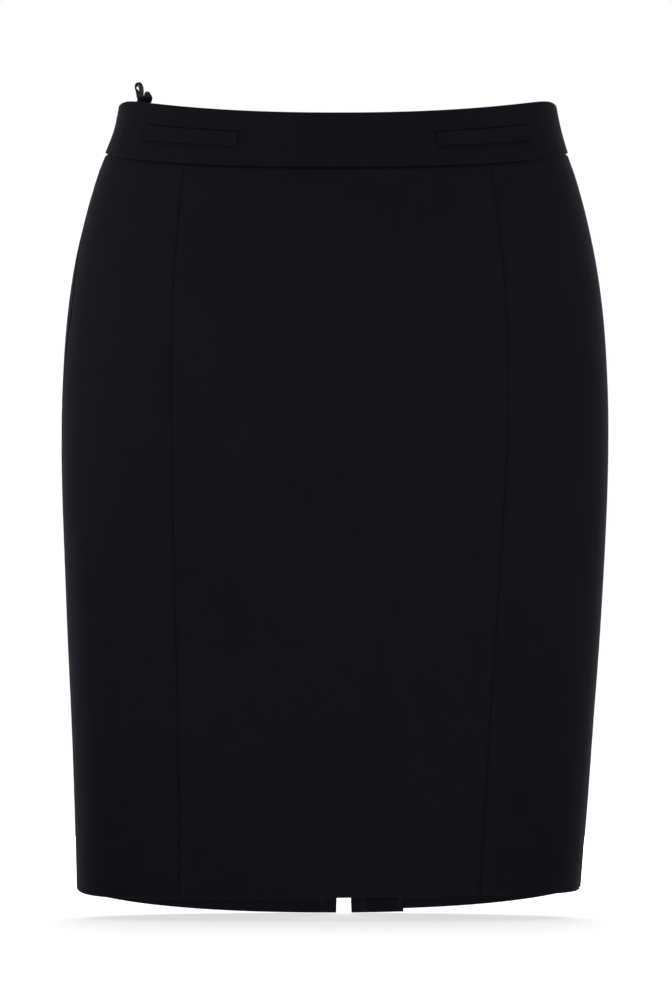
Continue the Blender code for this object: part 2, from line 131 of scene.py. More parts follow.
FIGURE = (
    Section(0.012, 0.1450, 0.0000, 0.0815, 0.0855),
    Section(0.000, 0.1467, 0.0000, 0.0830, 0.0880),
    Section(-0.020, 0.1507, 0.0000, 0.0862, 0.0921),
    Section(-0.036, 0.1560, -0.0007, 0.0893, 0.0960),
    Section(-0.050, 0.1612, -0.0009, 0.0920, 0.1000),
    Section(-0.066, 0.1660, -0.0010, 0.0946, 0.1046),
    Section(-0.080, 0.1697, -0.0011, 0.0966, 0.1086),
    Section(-0.107, 0.1757, -0.0014, 0.0998, 0.1152),
    Section(-0.134, 0.1799, -0.0015, 0.1020, 0.1202),
    Section(-0.162, 0.1827, -0.0016, 0.1035, 0.1235),
    Section(-0.202, 0.1847, -0.0017, 0.1045, 0.1255),
    Section(-0.236, 0.1850, -0.0018, 0.1045, 0.1252),
    Section(-0.270, 0.1843, -0.0019, 0.1042, 0.1240),
    Section(-0.311, 0.1826, -0.0021, 0.1036, 0.1220),
    Section(-0.365, 0.1799, -0.0027, 0.1030, 0.1190),
    Section(-0.420, 0.1765, -0.0035, 0.1022, 0.1162),
    Section(-0.474, 0.1735, -0.0045, 0.1016, 0.1142),
    Section(-0.528, 0.1704, -0.0060, 0.1010, 0.1130),
    Section(-0.570, 0.1682, -0.0070, 0.1006, 0.1124),
)

PRINCESS = (
    SeamShare(-0.030, 0.636, 0.645),
    SeamShare(-0.060, 0.624, 0.636),
    SeamShare(-0.100, 0.607, 0.631),
    SeamShare(-0.200, 0.589, 0.624),
    SeamShare(-0.300, 0.585, 0.609),
    SeamShare(-0.400, 0.585, 0.597),
    SeamShare(-0.560, 0.588, 0.595),
)


class SmoothTable:
    """Sizes against height, read from a smooth curve through the rows of a table."""

    def __init__(self, rows: Sequence[NamedTuple]) -> None:
        """Keeps the rows and the curve's slope at each.

        Args:
            rows: The table, highest first, with the height in the first column.
        """
        values = np.array(rows, float)
        rise = np.vstack([values[1:], values[-1:]]) - np.vstack([values[:1], values[:-1]])
        self.heights = values[:, 0]
        self.sizes = values[:, 1:]
        self.slopes = rise[:, 1:] / rise[:, :1]

    def read(self, height: Grid) -> Grid:
        """The table's other columns at each height.

        Args:
            height: Heights, in any shape.

        Returns:
            The same shape with the columns as one more axis, at the front.
        """
        height = np.asarray(height, float)
        below = np.clip(np.searchsorted(-self.heights, -height, side="right"), 1, len(self.heights) - 1)
        above = below - 1
        span = (self.heights[below] - self.heights[above])[..., None]
        t = (height[..., None] - self.heights[above][..., None]) / span
        read = (
            (2 * t**3 - 3 * t**2 + 1) * self.sizes[above]
            + (t**3 - 2 * t**2 + t) * span * self.slopes[above]
            + (3 * t**2 - 2 * t**3) * self.sizes[below]
            + (t**3 - t**2) * span * self.slopes[below]
        )
        return np.moveaxis(read, -1, 0)


def smooth_step(share: Grid) -> Grid:
    """A share eased in and out, held to 0 before its start and to 1 past its end."""
    held = np.clip(share, 0, 1)
    return held * held * (3 - 2 * held)


def between(low: Grid, high: Grid, share: Grid) -> Grid:
    """The value at a share of the way from low to high."""
    return low + (high - low) * share


def steady(value: float) -> Line:
    """A line that stays at one turn or height."""
    return lambda place: value + 0 * place


def bell(distance: Grid) -> Grid:
    """A smooth hump, 1 at no distance and nearly 0 past 2."""
    return np.exp(-(distance**2))


class Crease(NamedTuple):
    """A soft trough in the cloth, or a ridge where its depth is negative."""

    turn_deg: float
    height: float
    slant_deg: float  # 0 runs round the body, 90 straight up
    half_length: float
    half_width: float
    depth: float


# Few and faint: drag from the hips and the small of the back, and slack below the seat.
CREASES = (
    Crease(-54, -0.150, 62, 0.070, 0.016, 0.0007),
    Crease(-24, -0.330, 84, 0.120, 0.026, 0.0005),
    Crease(-33, -0.470, 92, 0.080, 0.015, 0.0007),
    Crease(6, -0.420, 95, 0.110, 0.030, -0.0006),
    Crease(20, -0.260, 108, 0.090, 0.024, 0.0004),
    Crease(31, -0.480, 86, 0.070, 0.017, 0.0008),
    Crease(51, -0.175, 118, 0.080, 0.018, 0.0006),
    Crease(66, -0.400, 93, 0.120, 0.020, 0.0008),
    Crease(-71, -0.380, 88, 0.130, 0.022, 0.0008),
    Crease(103, -0.230, 84, 0.110, 0.019, 0.0009),
    Crease(-108, -0.260, 95, 0.120, 0.020, 0.0009),
    Crease(152, -0.062, 10, 0.046, 0.0060, 0.0012),
    Crease(-157, -0.066, -8, 0.052, 0.0065, 0.0013),
    Crease(171, -0.084, -5, 0.040, 0.0070, 0.0009),
    Crease(-138, -0.088, -16, 0.038, 0.0075, 0.0008),
    Crease(149, -0.300, 66, 0.085, 0.017, 0.0013),
    Crease(-146, -0.310, 112, 0.078, 0.016, 0.0012),
    Crease(164, -0.345, 78, 0.070, 0.013, 0.0009),
    Crease(-165, -0.335, 101, 0.060, 0.012, 0.0008),
    Crease(129, -0.440, 87, 0.110, 0.020, 0.0012),
    Crease(-131, -0.430, 94, 0.120, 0.022, 0.0012),
    Crease(152, -0.480, 90, 0.080, 0.016, -0.0009),
    Crease(-153, -0.470, 91, 0.085, 0.017, -0.0010),
)


@dataclass(frozen=True)
class Form:
    """The rings of a general figure that the skirt is worn on."""

    roundness: float = 2.2
    small_turn: float = 0.001
    sections: SmoothTable = SmoothTable(FIGURE)

    def ring(self, turn: Grid) -> tuple[Grid, Grid]:
        """Each turn's place on a ring of half width and depth 1.

        Args:
            turn: Turns round the body.

        Returns:
            How far across it lies, and how far ahead.
        """
        across, ahead = np.sin(turn), np.cos(turn)
        reach = np.abs(across) ** self.roundness + np.abs(ahead) ** self.roundness
        reach = reach ** (-1 / self.roundness)
        return across * reach, ahead * reach

    def turn_of_share(self, share: Grid) -> Grid:
        """The turn on the front whose place across is this share of the half width."""
        across = share**self.roundness
        return np.arctan((across / (1 - across)) ** (1 / self.roundness))

    def point(self, turn: Grid, height: Grid, outward: Grid = 0.0) -> Grid:
        """The places in space of turns and heights.

        Args:
            turn: Turns round the body.
            height: Heights.
            outward: Distances out from the form, along the ring's normal.

        Returns:
            Points, with X, Y and Z as the last axis.
        """
        turn, height, outward = np.broadcast_arrays(turn, height, outward)
        half_width, middle, front, back = self.sections.read(height)
        across, ahead = self.ring(turn)
        depth = np.where(ahead > 0, front, back)
        power = self.roundness - 1
        normal = np.stack(
            [
                np.copysign(np.abs(across) ** power, across) / half_width,
                -np.copysign(np.abs(ahead) ** power, ahead) / depth,
                np.zeros_like(across),
            ],
            axis=-1,
        )
        normal /= np.linalg.norm(normal, axis=-1, keepdims=True)
        place = np.stack([middle + half_width * across, -depth * ahead, height], axis=-1)
        return place + normal * outward[..., None]

    def speed(self, turn: Grid, height: Grid) -> Grid:
        """How far round the body a radian of turn goes.

        Args:
            turn: Turns round the body.
            height: Heights.

        Returns:
            Metres to each radian.
        """
        ahead = self.point(turn + self.small_turn, height)
        behind = self.point(turn - self.small_turn, height)
        return np.linalg.norm(ahead - behind, axis=-1) / (2 * self.small_turn)

    def along(self, turn: Grid, height: Grid, distance: Grid) -> Grid:
        """The turns that lie a distance further round the ring."""
        return turn + distance / self.speed(turn, height)


@dataclass(frozen=True)
class Cut:
    """The edges and seams that the skirt is cut to, as turns for heights and heights for turns."""

    form: Form = Form()
    princess: SmoothTable = SmoothTable(PRINCESS)
    gap: float = 0.0003
    bite: float = 0.00001
    wall: float = 0.0016
    band_proud: float = 0.0008
    top_dip_front: float = 0.0148
    top_dip_back: float = 0.0040
    top_dip_side: float = 0.0036
    top_side_reach: float = 0.26
    top_front_power: float = 1.8
    band_height: float = 0.0356
    waist_dip_front: float = 0.0159
    waist_dip_back: float = 0.0040
    waist_front_power: float = 1.27
    hem_side: float = -0.5322
    hem_dip_front: float = 0.0050
    hem_dip_back: float = 0.0204
    hem_tilt_front: float = 0.0025
    hem_short_left_back: float = 0.0022
    hem_front_power: int = 3
    hem_back_power: float = 1.25
    hem_left_back_power: float = 0.3
    right_swing: float = math.radians(13)
    right_swing_height: float = -0.140
    right_swing_reach: float = 0.065
    left_behind: float = math.radians(2)
    left_swing: float = math.radians(9)
    left_swing_top: float = -0.300
    left_swing_reach: float = 0.235
    back_lean: float = 0.0110
    back_length: float = 0.552
    slit_top: float = -0.385
    slit_opening: float = 0.0111
    slack_fade: float = 0.014  # below the waist seam, from pressed flat to free

    @property
    def half_gap(self) -> float:
        """Half the distance between two pieces at a seam."""
        return self.gap / 2

    def top_edge(self, turn: Grid) -> Grid:
        """Height of the waistband's top edge.

        Args:
            turn: Turns round the body.

        Returns:
            Heights.
        """
        ahead = self.form.ring(turn)[1]
        side = self.top_dip_side * bell(ahead / self.top_side_reach)
        front = self.top_dip_front * np.maximum(ahead, 0) ** self.top_front_power
        back = self.top_dip_back * np.minimum(ahead, 0) ** 2
        return -side - front - back

    def waist_seam(self, turn: Grid) -> Grid:
        """Height of the seam between the waistband and the panels.

        Args:
            turn: Turns round the body.

        Returns:
            Heights.
        """
        ahead = self.form.ring(turn)[1]
        front = self.waist_dip_front * np.maximum(ahead, 0) ** self.waist_front_power
        back = self.waist_dip_back * np.minimum(ahead, 0) ** 2
        return -self.band_height - front - back

    def hem_front(self, turn: Grid) -> Grid:
        """Height of the front's hem, which runs nearly level across the middle.

        Args:
            turn: Turns round the body.

        Returns:
            Heights.
        """
        across, ahead = self.form.ring(turn)
        ahead = np.maximum(ahead, 0)
        dip = self.hem_dip_front * (1 - (1 - ahead) ** self.hem_front_power)
        return self.hem_side - dip + self.hem_tilt_front * across * ahead

    def hem_back(self, turn: Grid) -> Grid:
        """Height of the back's hem, which dips to the centre back."""
        behind = np.maximum(-self.form.ring(turn)[1], 0)
        return self.hem_side - self.hem_dip_back * behind**self.hem_back_power

    def hem_back_left(self, turn: Grid) -> Grid:
        """Height of the left back's hem, cut shorter towards the slit."""
        behind = np.maximum(-self.form.ring(turn)[1], 0)
        return self.hem_back(turn) + self.hem_short_left_back * behind**self.hem_left_back_power

    def princess_right(self, height: Grid) -> Grid:
        """Turn of the princess seam on the wearer's right."""
        return -self.form.turn_of_share(self.princess.read(height)[0])

    def princess_left(self, height: Grid) -> Grid:
        """Turn of the princess seam on the wearer's left."""
        return self.form.turn_of_share(self.princess.read(height)[1])

    def side_right(self, height: Grid) -> Grid:
        """Turn of the right side seam, which swings to the front over the hip."""
        offset = (np.asarray(height) - self.right_swing_height) / self.right_swing_reach
        return -QUARTER + self.right_swing * bell(offset)

    def side_left(self, height: Grid) -> Grid:
        """Turn of the left side seam, which drifts to the front from the thigh to the hem."""
        share = (self.left_swing_top - np.asarray(height)) / self.left_swing_reach
        return QUARTER + self.left_behind - self.left_swing * smooth_step(share)

    def centre_back(self, height: Grid) -> Grid:
        """Turn of the centre-back seam, counted from the wearer's left."""
        lean = self.back_lean * np.maximum(-np.asarray(height), 0) / self.back_length
        return math.pi - np.arcsin(lean / self.form.sections.read(height)[0])

    def centre_back_from_right(self, height: Grid) -> Grid:
        """Turn of the centre-back seam, counted from the wearer's right."""
        return self.centre_back(height) - math.tau

    def half_opening(self, height: Grid) -> Grid:
        """Half the distance between the two backs, which is the slit's below its top."""
        below = np.maximum(self.slit_top - np.asarray(height), 0) / (self.slit_top + self.back_length)
        return between(self.half_gap, self.slit_opening / 2, below)

    def back_edge_left(self, height: Grid) -> Grid:
        """The left back's edge at the centre back."""
        return self.form.along(self.centre_back(height), height, -self.half_opening(height))

    def back_edge_right(self, height: Grid) -> Grid:
        """The right back's edge at the centre back, counted from the wearer's right."""
        return self.form.along(self.centre_back_from_right(height), height, self.half_opening(height))

    def flush_left(self, height: Grid) -> Grid:
        """The left back's edge, let out to the middle of the gap."""
        return self.moved(self.back_edge_left, self.half_gap)(height)

    def flush_right(self, height: Grid) -> Grid:
        """The right back's edge, let out to the middle of the gap."""
        return self.moved(self.back_edge_right, -self.half_gap)(height)

    def moved(self, line: Line, distance: float) -> Line:
        """A seam line moved round the ring by a distance."""
        return lambda height: self.form.along(line(height), height, distance)

    def slack(self, turn: Grid, height: Grid) -> Grid:
        """How far the creases stand the cloth out from the form.

        Args:
            turn: Turns round the body.
            height: Heights.

        Returns:
            Distances out, negative where the cloth lies further in.
        """
        total = np.zeros(np.broadcast(turn, height).shape)
        for crease in CREASES:
            middle = math.radians(crease.turn_deg)
            apart = (turn - middle + math.pi) % math.tau - math.pi
            round_body = apart * float(self.form.speed(np.array(middle), np.array(crease.height)))
            up = height - crease.height
            slant = math.radians(crease.slant_deg)
            along = round_body * math.cos(slant) + up * math.sin(slant)
            across = up * math.cos(slant) - round_body * math.sin(slant)
            hump = np.exp(-((along / crease.half_length) ** 2) - (across / crease.half_width) ** 2)
            total = total - crease.depth * hump
        return total * smooth_step((self.waist_seam(turn) - height) / self.slack_fade)


# ---------------------------------------------------------------- sheets of cloth
class Stop(NamedTuple):
    """One grid line of a sheet, beside the two edges that it runs between."""

    share: float  # of the way from the first edge to the second
    shift: float = 0.0  # metres further on
    sink: float = 0.0  # metres in from the face
    keeps: float = 1.0  # how much of the other way's sink is added here
    groove: float = 0.0  # how much of a sewn-in line runs along it
    hollow: float = 0.0  # how much shade is painted on it, where it lies in a seam or fold
    lift: float = 0.0  # how much of the other way's sink raises it, round a fold


def mirrored(stops: Sequence[Stop]) -> list[Stop]:
    """The same grid lines at the other edge, from the face outwards."""
    turned = reversed(stops)
    return [stop._replace(share=1 - stop.share, shift=-stop.shift, lift=-stop.lift) for stop in turned]


@dataclass(frozen=True)
class Fold:
    """An edge turned in: a raw edge inside, an allowance and a round fold.

    radius is half the distance between the two layers' right sides, inner_keeps is how much of the
    other way's sink the turned layer keeps, and inner_line gives its grid lines as shares of the
    allowance. hollow is the shade painted into the fold, full from dark_share of the
    fold's depth.
    """

    radius: float
    allowance: float
    inner_keeps: float = 1.0
    steps: int = 6
    nearby: tuple[float, ...] = (0.0007, 0.0018)
    hollow: float = 0.0
    dark_share: float = 0.25
    inner_line: tuple[float, ...] = (1.0, 0.6, 0.25)

    def stops(self) -> list[Stop]:
        """The grid lines from the raw edge, round the fold, to just past it on the face."""
        deep = 2 * self.radius
        made = [
            Stop(0, self.radius + self.allowance * share, deep, self.inner_keeps)
            for share in self.inner_line
        ]
        for i in range(self.steps + 1):
            bend = math.pi * (1 - i / self.steps)
            sink = self.radius * (1 - math.cos(bend))
            keeps = between(1.0, self.inner_keeps, sink / deep)
            # painted shade, growing with how deep the point lies in the fold
            hollow = self.hollow * min(1.0, sink / (self.dark_share * deep))
            place = self.radius * (1 - math.sin(bend))
            made.append(Stop(0, place, sink, keeps, hollow=hollow, lift=math.sin(bend)))
        return made + [Stop(0, self.radius + further) for further in self.nearby]


@dataclass(frozen=True)
class Tucked:
    """An edge that dips beside a seam and goes on past it, between the layers of the next piece.

    caught is how deep it lies between them, and inner_line gives its grid lines there as shares of the
    allowance. Each row of dip_line is a place on the face and its share of the dip. Shade is painted
    into the dip, up to darkest at its bottom.
    """

    dip: float
    caught: float
    allowance: float
    darkest: float = 0.8
    inner_line: tuple[float, ...] = (1.0, 0.5, 0.25)
    dip_line: tuple[tuple[float, float], ...] = (
        (-0.0010, 0.20),
        (-0.0005, 0.70),
        (-0.0001, 1.00),
        (0.0003, 0.95),
        (0.0007, 0.62),
        (0.0011, 0.24),
        (0.0016, 0.05),
        (0.0026, 0.00),
        (0.0040, 0.00),
    )

    def stops(self) -> list[Stop]:
        """The grid lines from the caught end to just past the dip on the face."""
        made = [Stop(0, -self.allowance * share, self.caught) for share in self.inner_line]
        for place, share in self.dip_line:
            rest = self.caught if place < 0 else 0.0
            # painted shade, darkest at the bottom of the dip
            made.append(Stop(0, place, max(rest, self.dip * share), hollow=self.darkest * share**3))
        return made


def face(count: int) -> list[Stop]:
    """Evenly spaced grid lines across a face, without its two edges."""
    return [Stop(i / count) for i in range(1, count)]


def plain(count: int) -> list[Stop]:
    """Evenly spaced grid lines across a sheet with nothing turned in, with its two edges."""
    return [Stop(i / count) for i in range(count + 1)]


def let_in(stops: Sequence[Stop], extra: Sequence[Stop], reach: float) -> list[Stop]:
    """Puts extra grid lines beside one share among others.

    Args:
        stops: The plain grid lines, in order.
        extra: The extra ones, all beside the same share.
        reach: How near that share a plain one is left out.

    Returns:
        All of them in order.
    """
    share = extra[0].share
    kept = [stop for stop in stops if abs(stop.share - share) > reach]
    before = [stop for stop in kept if stop.share < share]
    return before + list(extra) + kept[len(before) :]


def sewn_line(share: float, depth: float, half_width: float) -> list[Stop]:
    """Grid lines of a narrow groove along a dart, at a share of the way across."""
    places = (-1.6, -1.0, -0.5, 0.0, 0.5, 1.0, 1.6)  # in half widths from its middle
    return [Stop(share, half_width * x, groove=depth * max(0, 1 - abs(x))) for x in places]


class Wave(NamedTuple):
    """A ripple along a seam: its length in metres, its share, and how much a seed shifts it."""

    length: float
    share: float
    shift: float

    def at(self, distance: Grid, seed: float) -> Grid:
        """Its height at a distance along the seam."""
        return self.share * np.sin(distance * math.tau / self.length + self.shift * seed)


SWELL = Wave(0.083, 0.45, 1.7)
RIPPLES = (Wave(0.0121, 0.6, 1.0), Wave(0.0193, 0.4, 2.3))


def uneven(distance: Grid, seed: float) -> Grid:
    """An irregular wave along a seam, between about -1 and 1."""
    swell = 1 - SWELL.share + SWELL.at(distance, seed)
    return swell * sum(ripple.at(distance, seed) for ripple in RIPPLES)


@dataclass(frozen=True)
class Pucker:
    """How the cloth dips to its seams and draws up along them, and the shade painted into those dips."""

    depth: float = 0.00013
    reach: float = 0.0042
    dip: float = 0.00070
    dip_reach: float = 0.0012
    dip_hollow: float = 0.22
    start_seed: float = 0.0
    end_seed: float = 0.0
    top_seed: float = 5.0
    mean_radius: float = 0.15  # of the body, for the waves along the waist seam

    def hollow(self, from_start: Grid, from_end: Grid) -> Grid:
        """How much shade is painted on each point, for lying in a seam's dip."""
        return self.dip_hollow * (bell(from_start / self.dip_reach) + bell(from_end / self.dip_reach))

    def sink(self, from_start: Grid, from_end: Grid, below_top: Grid, turn: Grid, height: Grid) -> Grid:
        """How far each point is drawn in.

        Args:
            from_start: Distances from the first seam.
            from_end: Distances from the second seam.
            below_top: Distances down from the waist seam.
            turn: Turns round the body.
            height: Heights.

        Returns:
            Distances in from the face.
        """
        drawn = bell(from_start / self.reach) * uneven(height, self.start_seed)
        drawn = drawn + bell(from_end / self.reach) * uneven(height, self.end_seed)
        drawn = drawn + bell(below_top / self.reach) * uneven(turn * self.mean_radius, self.top_seed)
        dipped = bell(from_start / self.dip_reach) + bell(from_end / self.dip_reach)
        return self.depth * drawn + self.dip * dipped


@dataclass(frozen=True)
class Sheet:
    """A sheet of cloth between two seam lines and two edge lines.

    across and up are its grid lines, press draws its face in and paints shade on it there, and a
    sewn-in groove fades out on its way down to groove_foot.
    """

    name: str
    cut: Cut
    start: Line
    end: Line
    low: Line
    high: Line
    across: Sequence[Stop]
    up: Sequence[Stop]
    outward: float = 0.0
    thickness: float = 0.00042
    pucker: Pucker | None = None
    press: Callable[[Grid, Grid], Grid] | None = None
    # painted shade for each metre that press draws the face in
    press_hollow: float = 650.0
    groove_foot: float = -1.0
    groove_fade: float = 0.03
    raw_sides: bool = False
    raw_foot: bool = False
    first_heights: tuple[float, float] = (-0.5, 0.0)  # from which the true ones are worked out
    rounds: int = 6

    def values(self, name: str) -> tuple[Grid, Grid]:
        """Reads one value of every stop.

        Args:
            name: The value's name.

        Returns:
            Those of the stops across as a row, and of those up as a column.
        """
        across = np.array([getattr(stop, name) for stop in self.across], float)
        up = np.array([getattr(stop, name) for stop in self.up], float)
        return across[None, :], up[:, None]

    def from_seams(self, turn: Grid, height: Grid) -> tuple[Grid, Grid]:
        """How far round the body each place lies from the first seam and from the second."""
        speed = self.cut.form.speed(turn, height)
        return (turn - self.start(height)) * speed, (self.end(height) - turn) * speed

    def places(self) -> tuple[Grid, Grid]:
        """Turn and height of every grid point, a row for each stop up and a column for each across."""
        share, row_share = self.values("share")
        shift, rise = self.values("shift")
        lift = self.values("lift")[1] * self.values("sink")[0]
        height = between(*self.first_heights, row_share) + 0 * share
        for _ in range(self.rounds):
            turn = between(self.start(height), self.end(height), share)
            turn = self.cut.form.along(turn, height, shift)
            height = between(self.low(turn), self.high(turn), row_share) + rise + lift
        return turn, height

    def points(self) -> Grid:
        """The sheet's right side in space."""
        turn, height = self.places()
        sink_across, sink_up = self.values("sink")
        keeps = self.values("keeps")[1]
        sink = sink_up + keeps * sink_across
        fades = smooth_step((height - self.groove_foot) / self.groove_fade)
        sink = sink + keeps * self.values("groove")[0] * fades
        if self.press:
            sink = sink + np.maximum(keeps, 0) * self.press(turn, height)
        if self.pucker:
            below_top = self.high(turn) - height
            sink = sink + self.pucker.sink(*self.from_seams(turn, height), below_top, turn, height)
        return self.cut.form.point(turn, height, self.outward - sink + self.cut.slack(turn, height))

    def hollows(self) -> Grid:
        """How much shade is painted on each point, from 0 to 1, where it lies in a seam or fold or is
        pressed in.
        """
        turn, height = self.places()
        hollow = np.maximum(*self.values("hollow"))
        if self.press:
            keeps = np.maximum(self.values("keeps")[1], 0)
            hollow = hollow + self.press_hollow * keeps * self.press(turn, height)
        if self.pucker:
            hollow = hollow + self.pucker.hollow(*self.from_seams(turn, height))
        return np.clip(hollow, 0, 1)

    def flattened(self, points: Grid) -> Grid:
        """Each point's place on the flat cut.

        Args:
            points: The grid's points in space.

        Returns:
            Metres across from the middle column, and metres up.
        """
        rows, columns = points.shape[:2]
        steps = np.linalg.norm(np.diff(points, axis=1), axis=-1)
        u = np.concatenate([np.zeros((rows, 1)), np.cumsum(steps, axis=1)], axis=1)
        u = u - u[:, columns // 2][:, None]
        steps = np.linalg.norm(np.diff(points, axis=0), axis=-1)
        v = np.concatenate([np.zeros((1, columns)), np.cumsum(steps, axis=0)], axis=0)
        v = v - v[rows // 2] + points[rows // 2, :, 2]
        return np.stack([u, v], axis=-1)

    def raw_distance(self, flat: Grid) -> Grid:
        """How far each point lies from the nearest raw edge.

        Args:
            flat: The points' places on the flat cut.

        Returns:
            Distances, at most 1.
        """
        far = np.ones(flat.shape[:2])
        u, v = flat[..., 0], flat[..., 1]
        if self.raw_sides:
            far = np.minimum(far, np.minimum(u - u[:, :1], u[:, -1:] - u))
        if self.raw_foot:
            far = np.minimum(far, v - v[:1])
        return far

    def build(self) -> bpy.types.Object:
        """Makes the sheet's piece.

        Returns:
            The piece, which carries the width, length and area of its flat cut.
        """
        points = self.points()
        flat = self.flattened(points)
        piece = self.mesh(points, flat)
        u, v = flat[..., 0], flat[..., 1]
        width = float((u.max(axis=1) - u.min(axis=1)).max())
        length = float((v.max(axis=0) - v.min(axis=0)).max())
        diagonals = points[1:, 1:] - points[:-1, :-1], points[1:, :-1] - points[:-1, 1:]
        area = float(np.linalg.norm(np.cross(*diagonals), axis=-1).sum() / 2)
        piece["flat_cut"] = [width, length, min(area, width * length)]
        return piece

    def dress(
        self,
        finish: bpy.types.Material,
        slot: Slot,
        rests_on: Sequence[str],
        with_pieces: Sequence[bpy.types.Object] = (),
    ) -> None:
        """Args:
            finish: Its material.
            slot: The record's material slot that it takes its finish from; not used.
            rests_on: The names of what it hangs from; not used.
            with_pieces: What is sewn to it and goes with it; not used.
        """
        piece = self.build()
        ride(piece, finish, [self.name.rsplit("_", 1)[0]])

    def mesh(self, points: Grid, flat: Grid) -> bpy.types.Object:
        """Makes the sheet's mesh, smooth and with the cloth's thickness.

        Args:
            points: Its right side's grid in space.
            flat: The same grid on the flat cut.

        Returns:
            The piece, with its UV map, raw edges and the shade painted into its seams and folds.
        """
        rows, columns = points.shape[:2]
        index = np.arange(rows * columns).reshape(rows, columns)
        corners = [index[:-1, :-1], index[:-1, 1:], index[1:, 1:], index[1:, :-1]]
        faces = np.stack(corners, axis=-1).reshape(-1, 4)
        piece = Bench.made(self.name, points, faces.tolist())
        Bench.unroll(piece, flat.reshape(-1, 2)[faces.ravel()])
        # the hollow attribute carries painted shade for seams, folds and pressed places
        for name, values in (("raw_edge", self.raw_distance(flat)), ("hollow", self.hollows())):
            stored = piece.data.attributes.new(name, "FLOAT", "POINT")
            stored.data.foreach_set("value", values.ravel())
        bpy.ops.object.shade_smooth()
        wall = piece.modifiers.new("Thickness", "SOLIDIFY")
        wall.thickness = self.thickness
        wall.offset = -1
        bpy.ops.object.modifier_apply(modifier=wall.name)
        return piece


# ---------------------------------------------------------------- modelling by hand
class Along(Enum):
    """The axis that a cylinder lies along, with the turn that lays it there."""

    X = (0, QUARTER, 0)
    Y = (QUARTER, 0, 0)


class Joining(Enum):
    """How one solid is worked on with another."""

    ADD = "UNION"
    CUT = "DIFFERENCE"


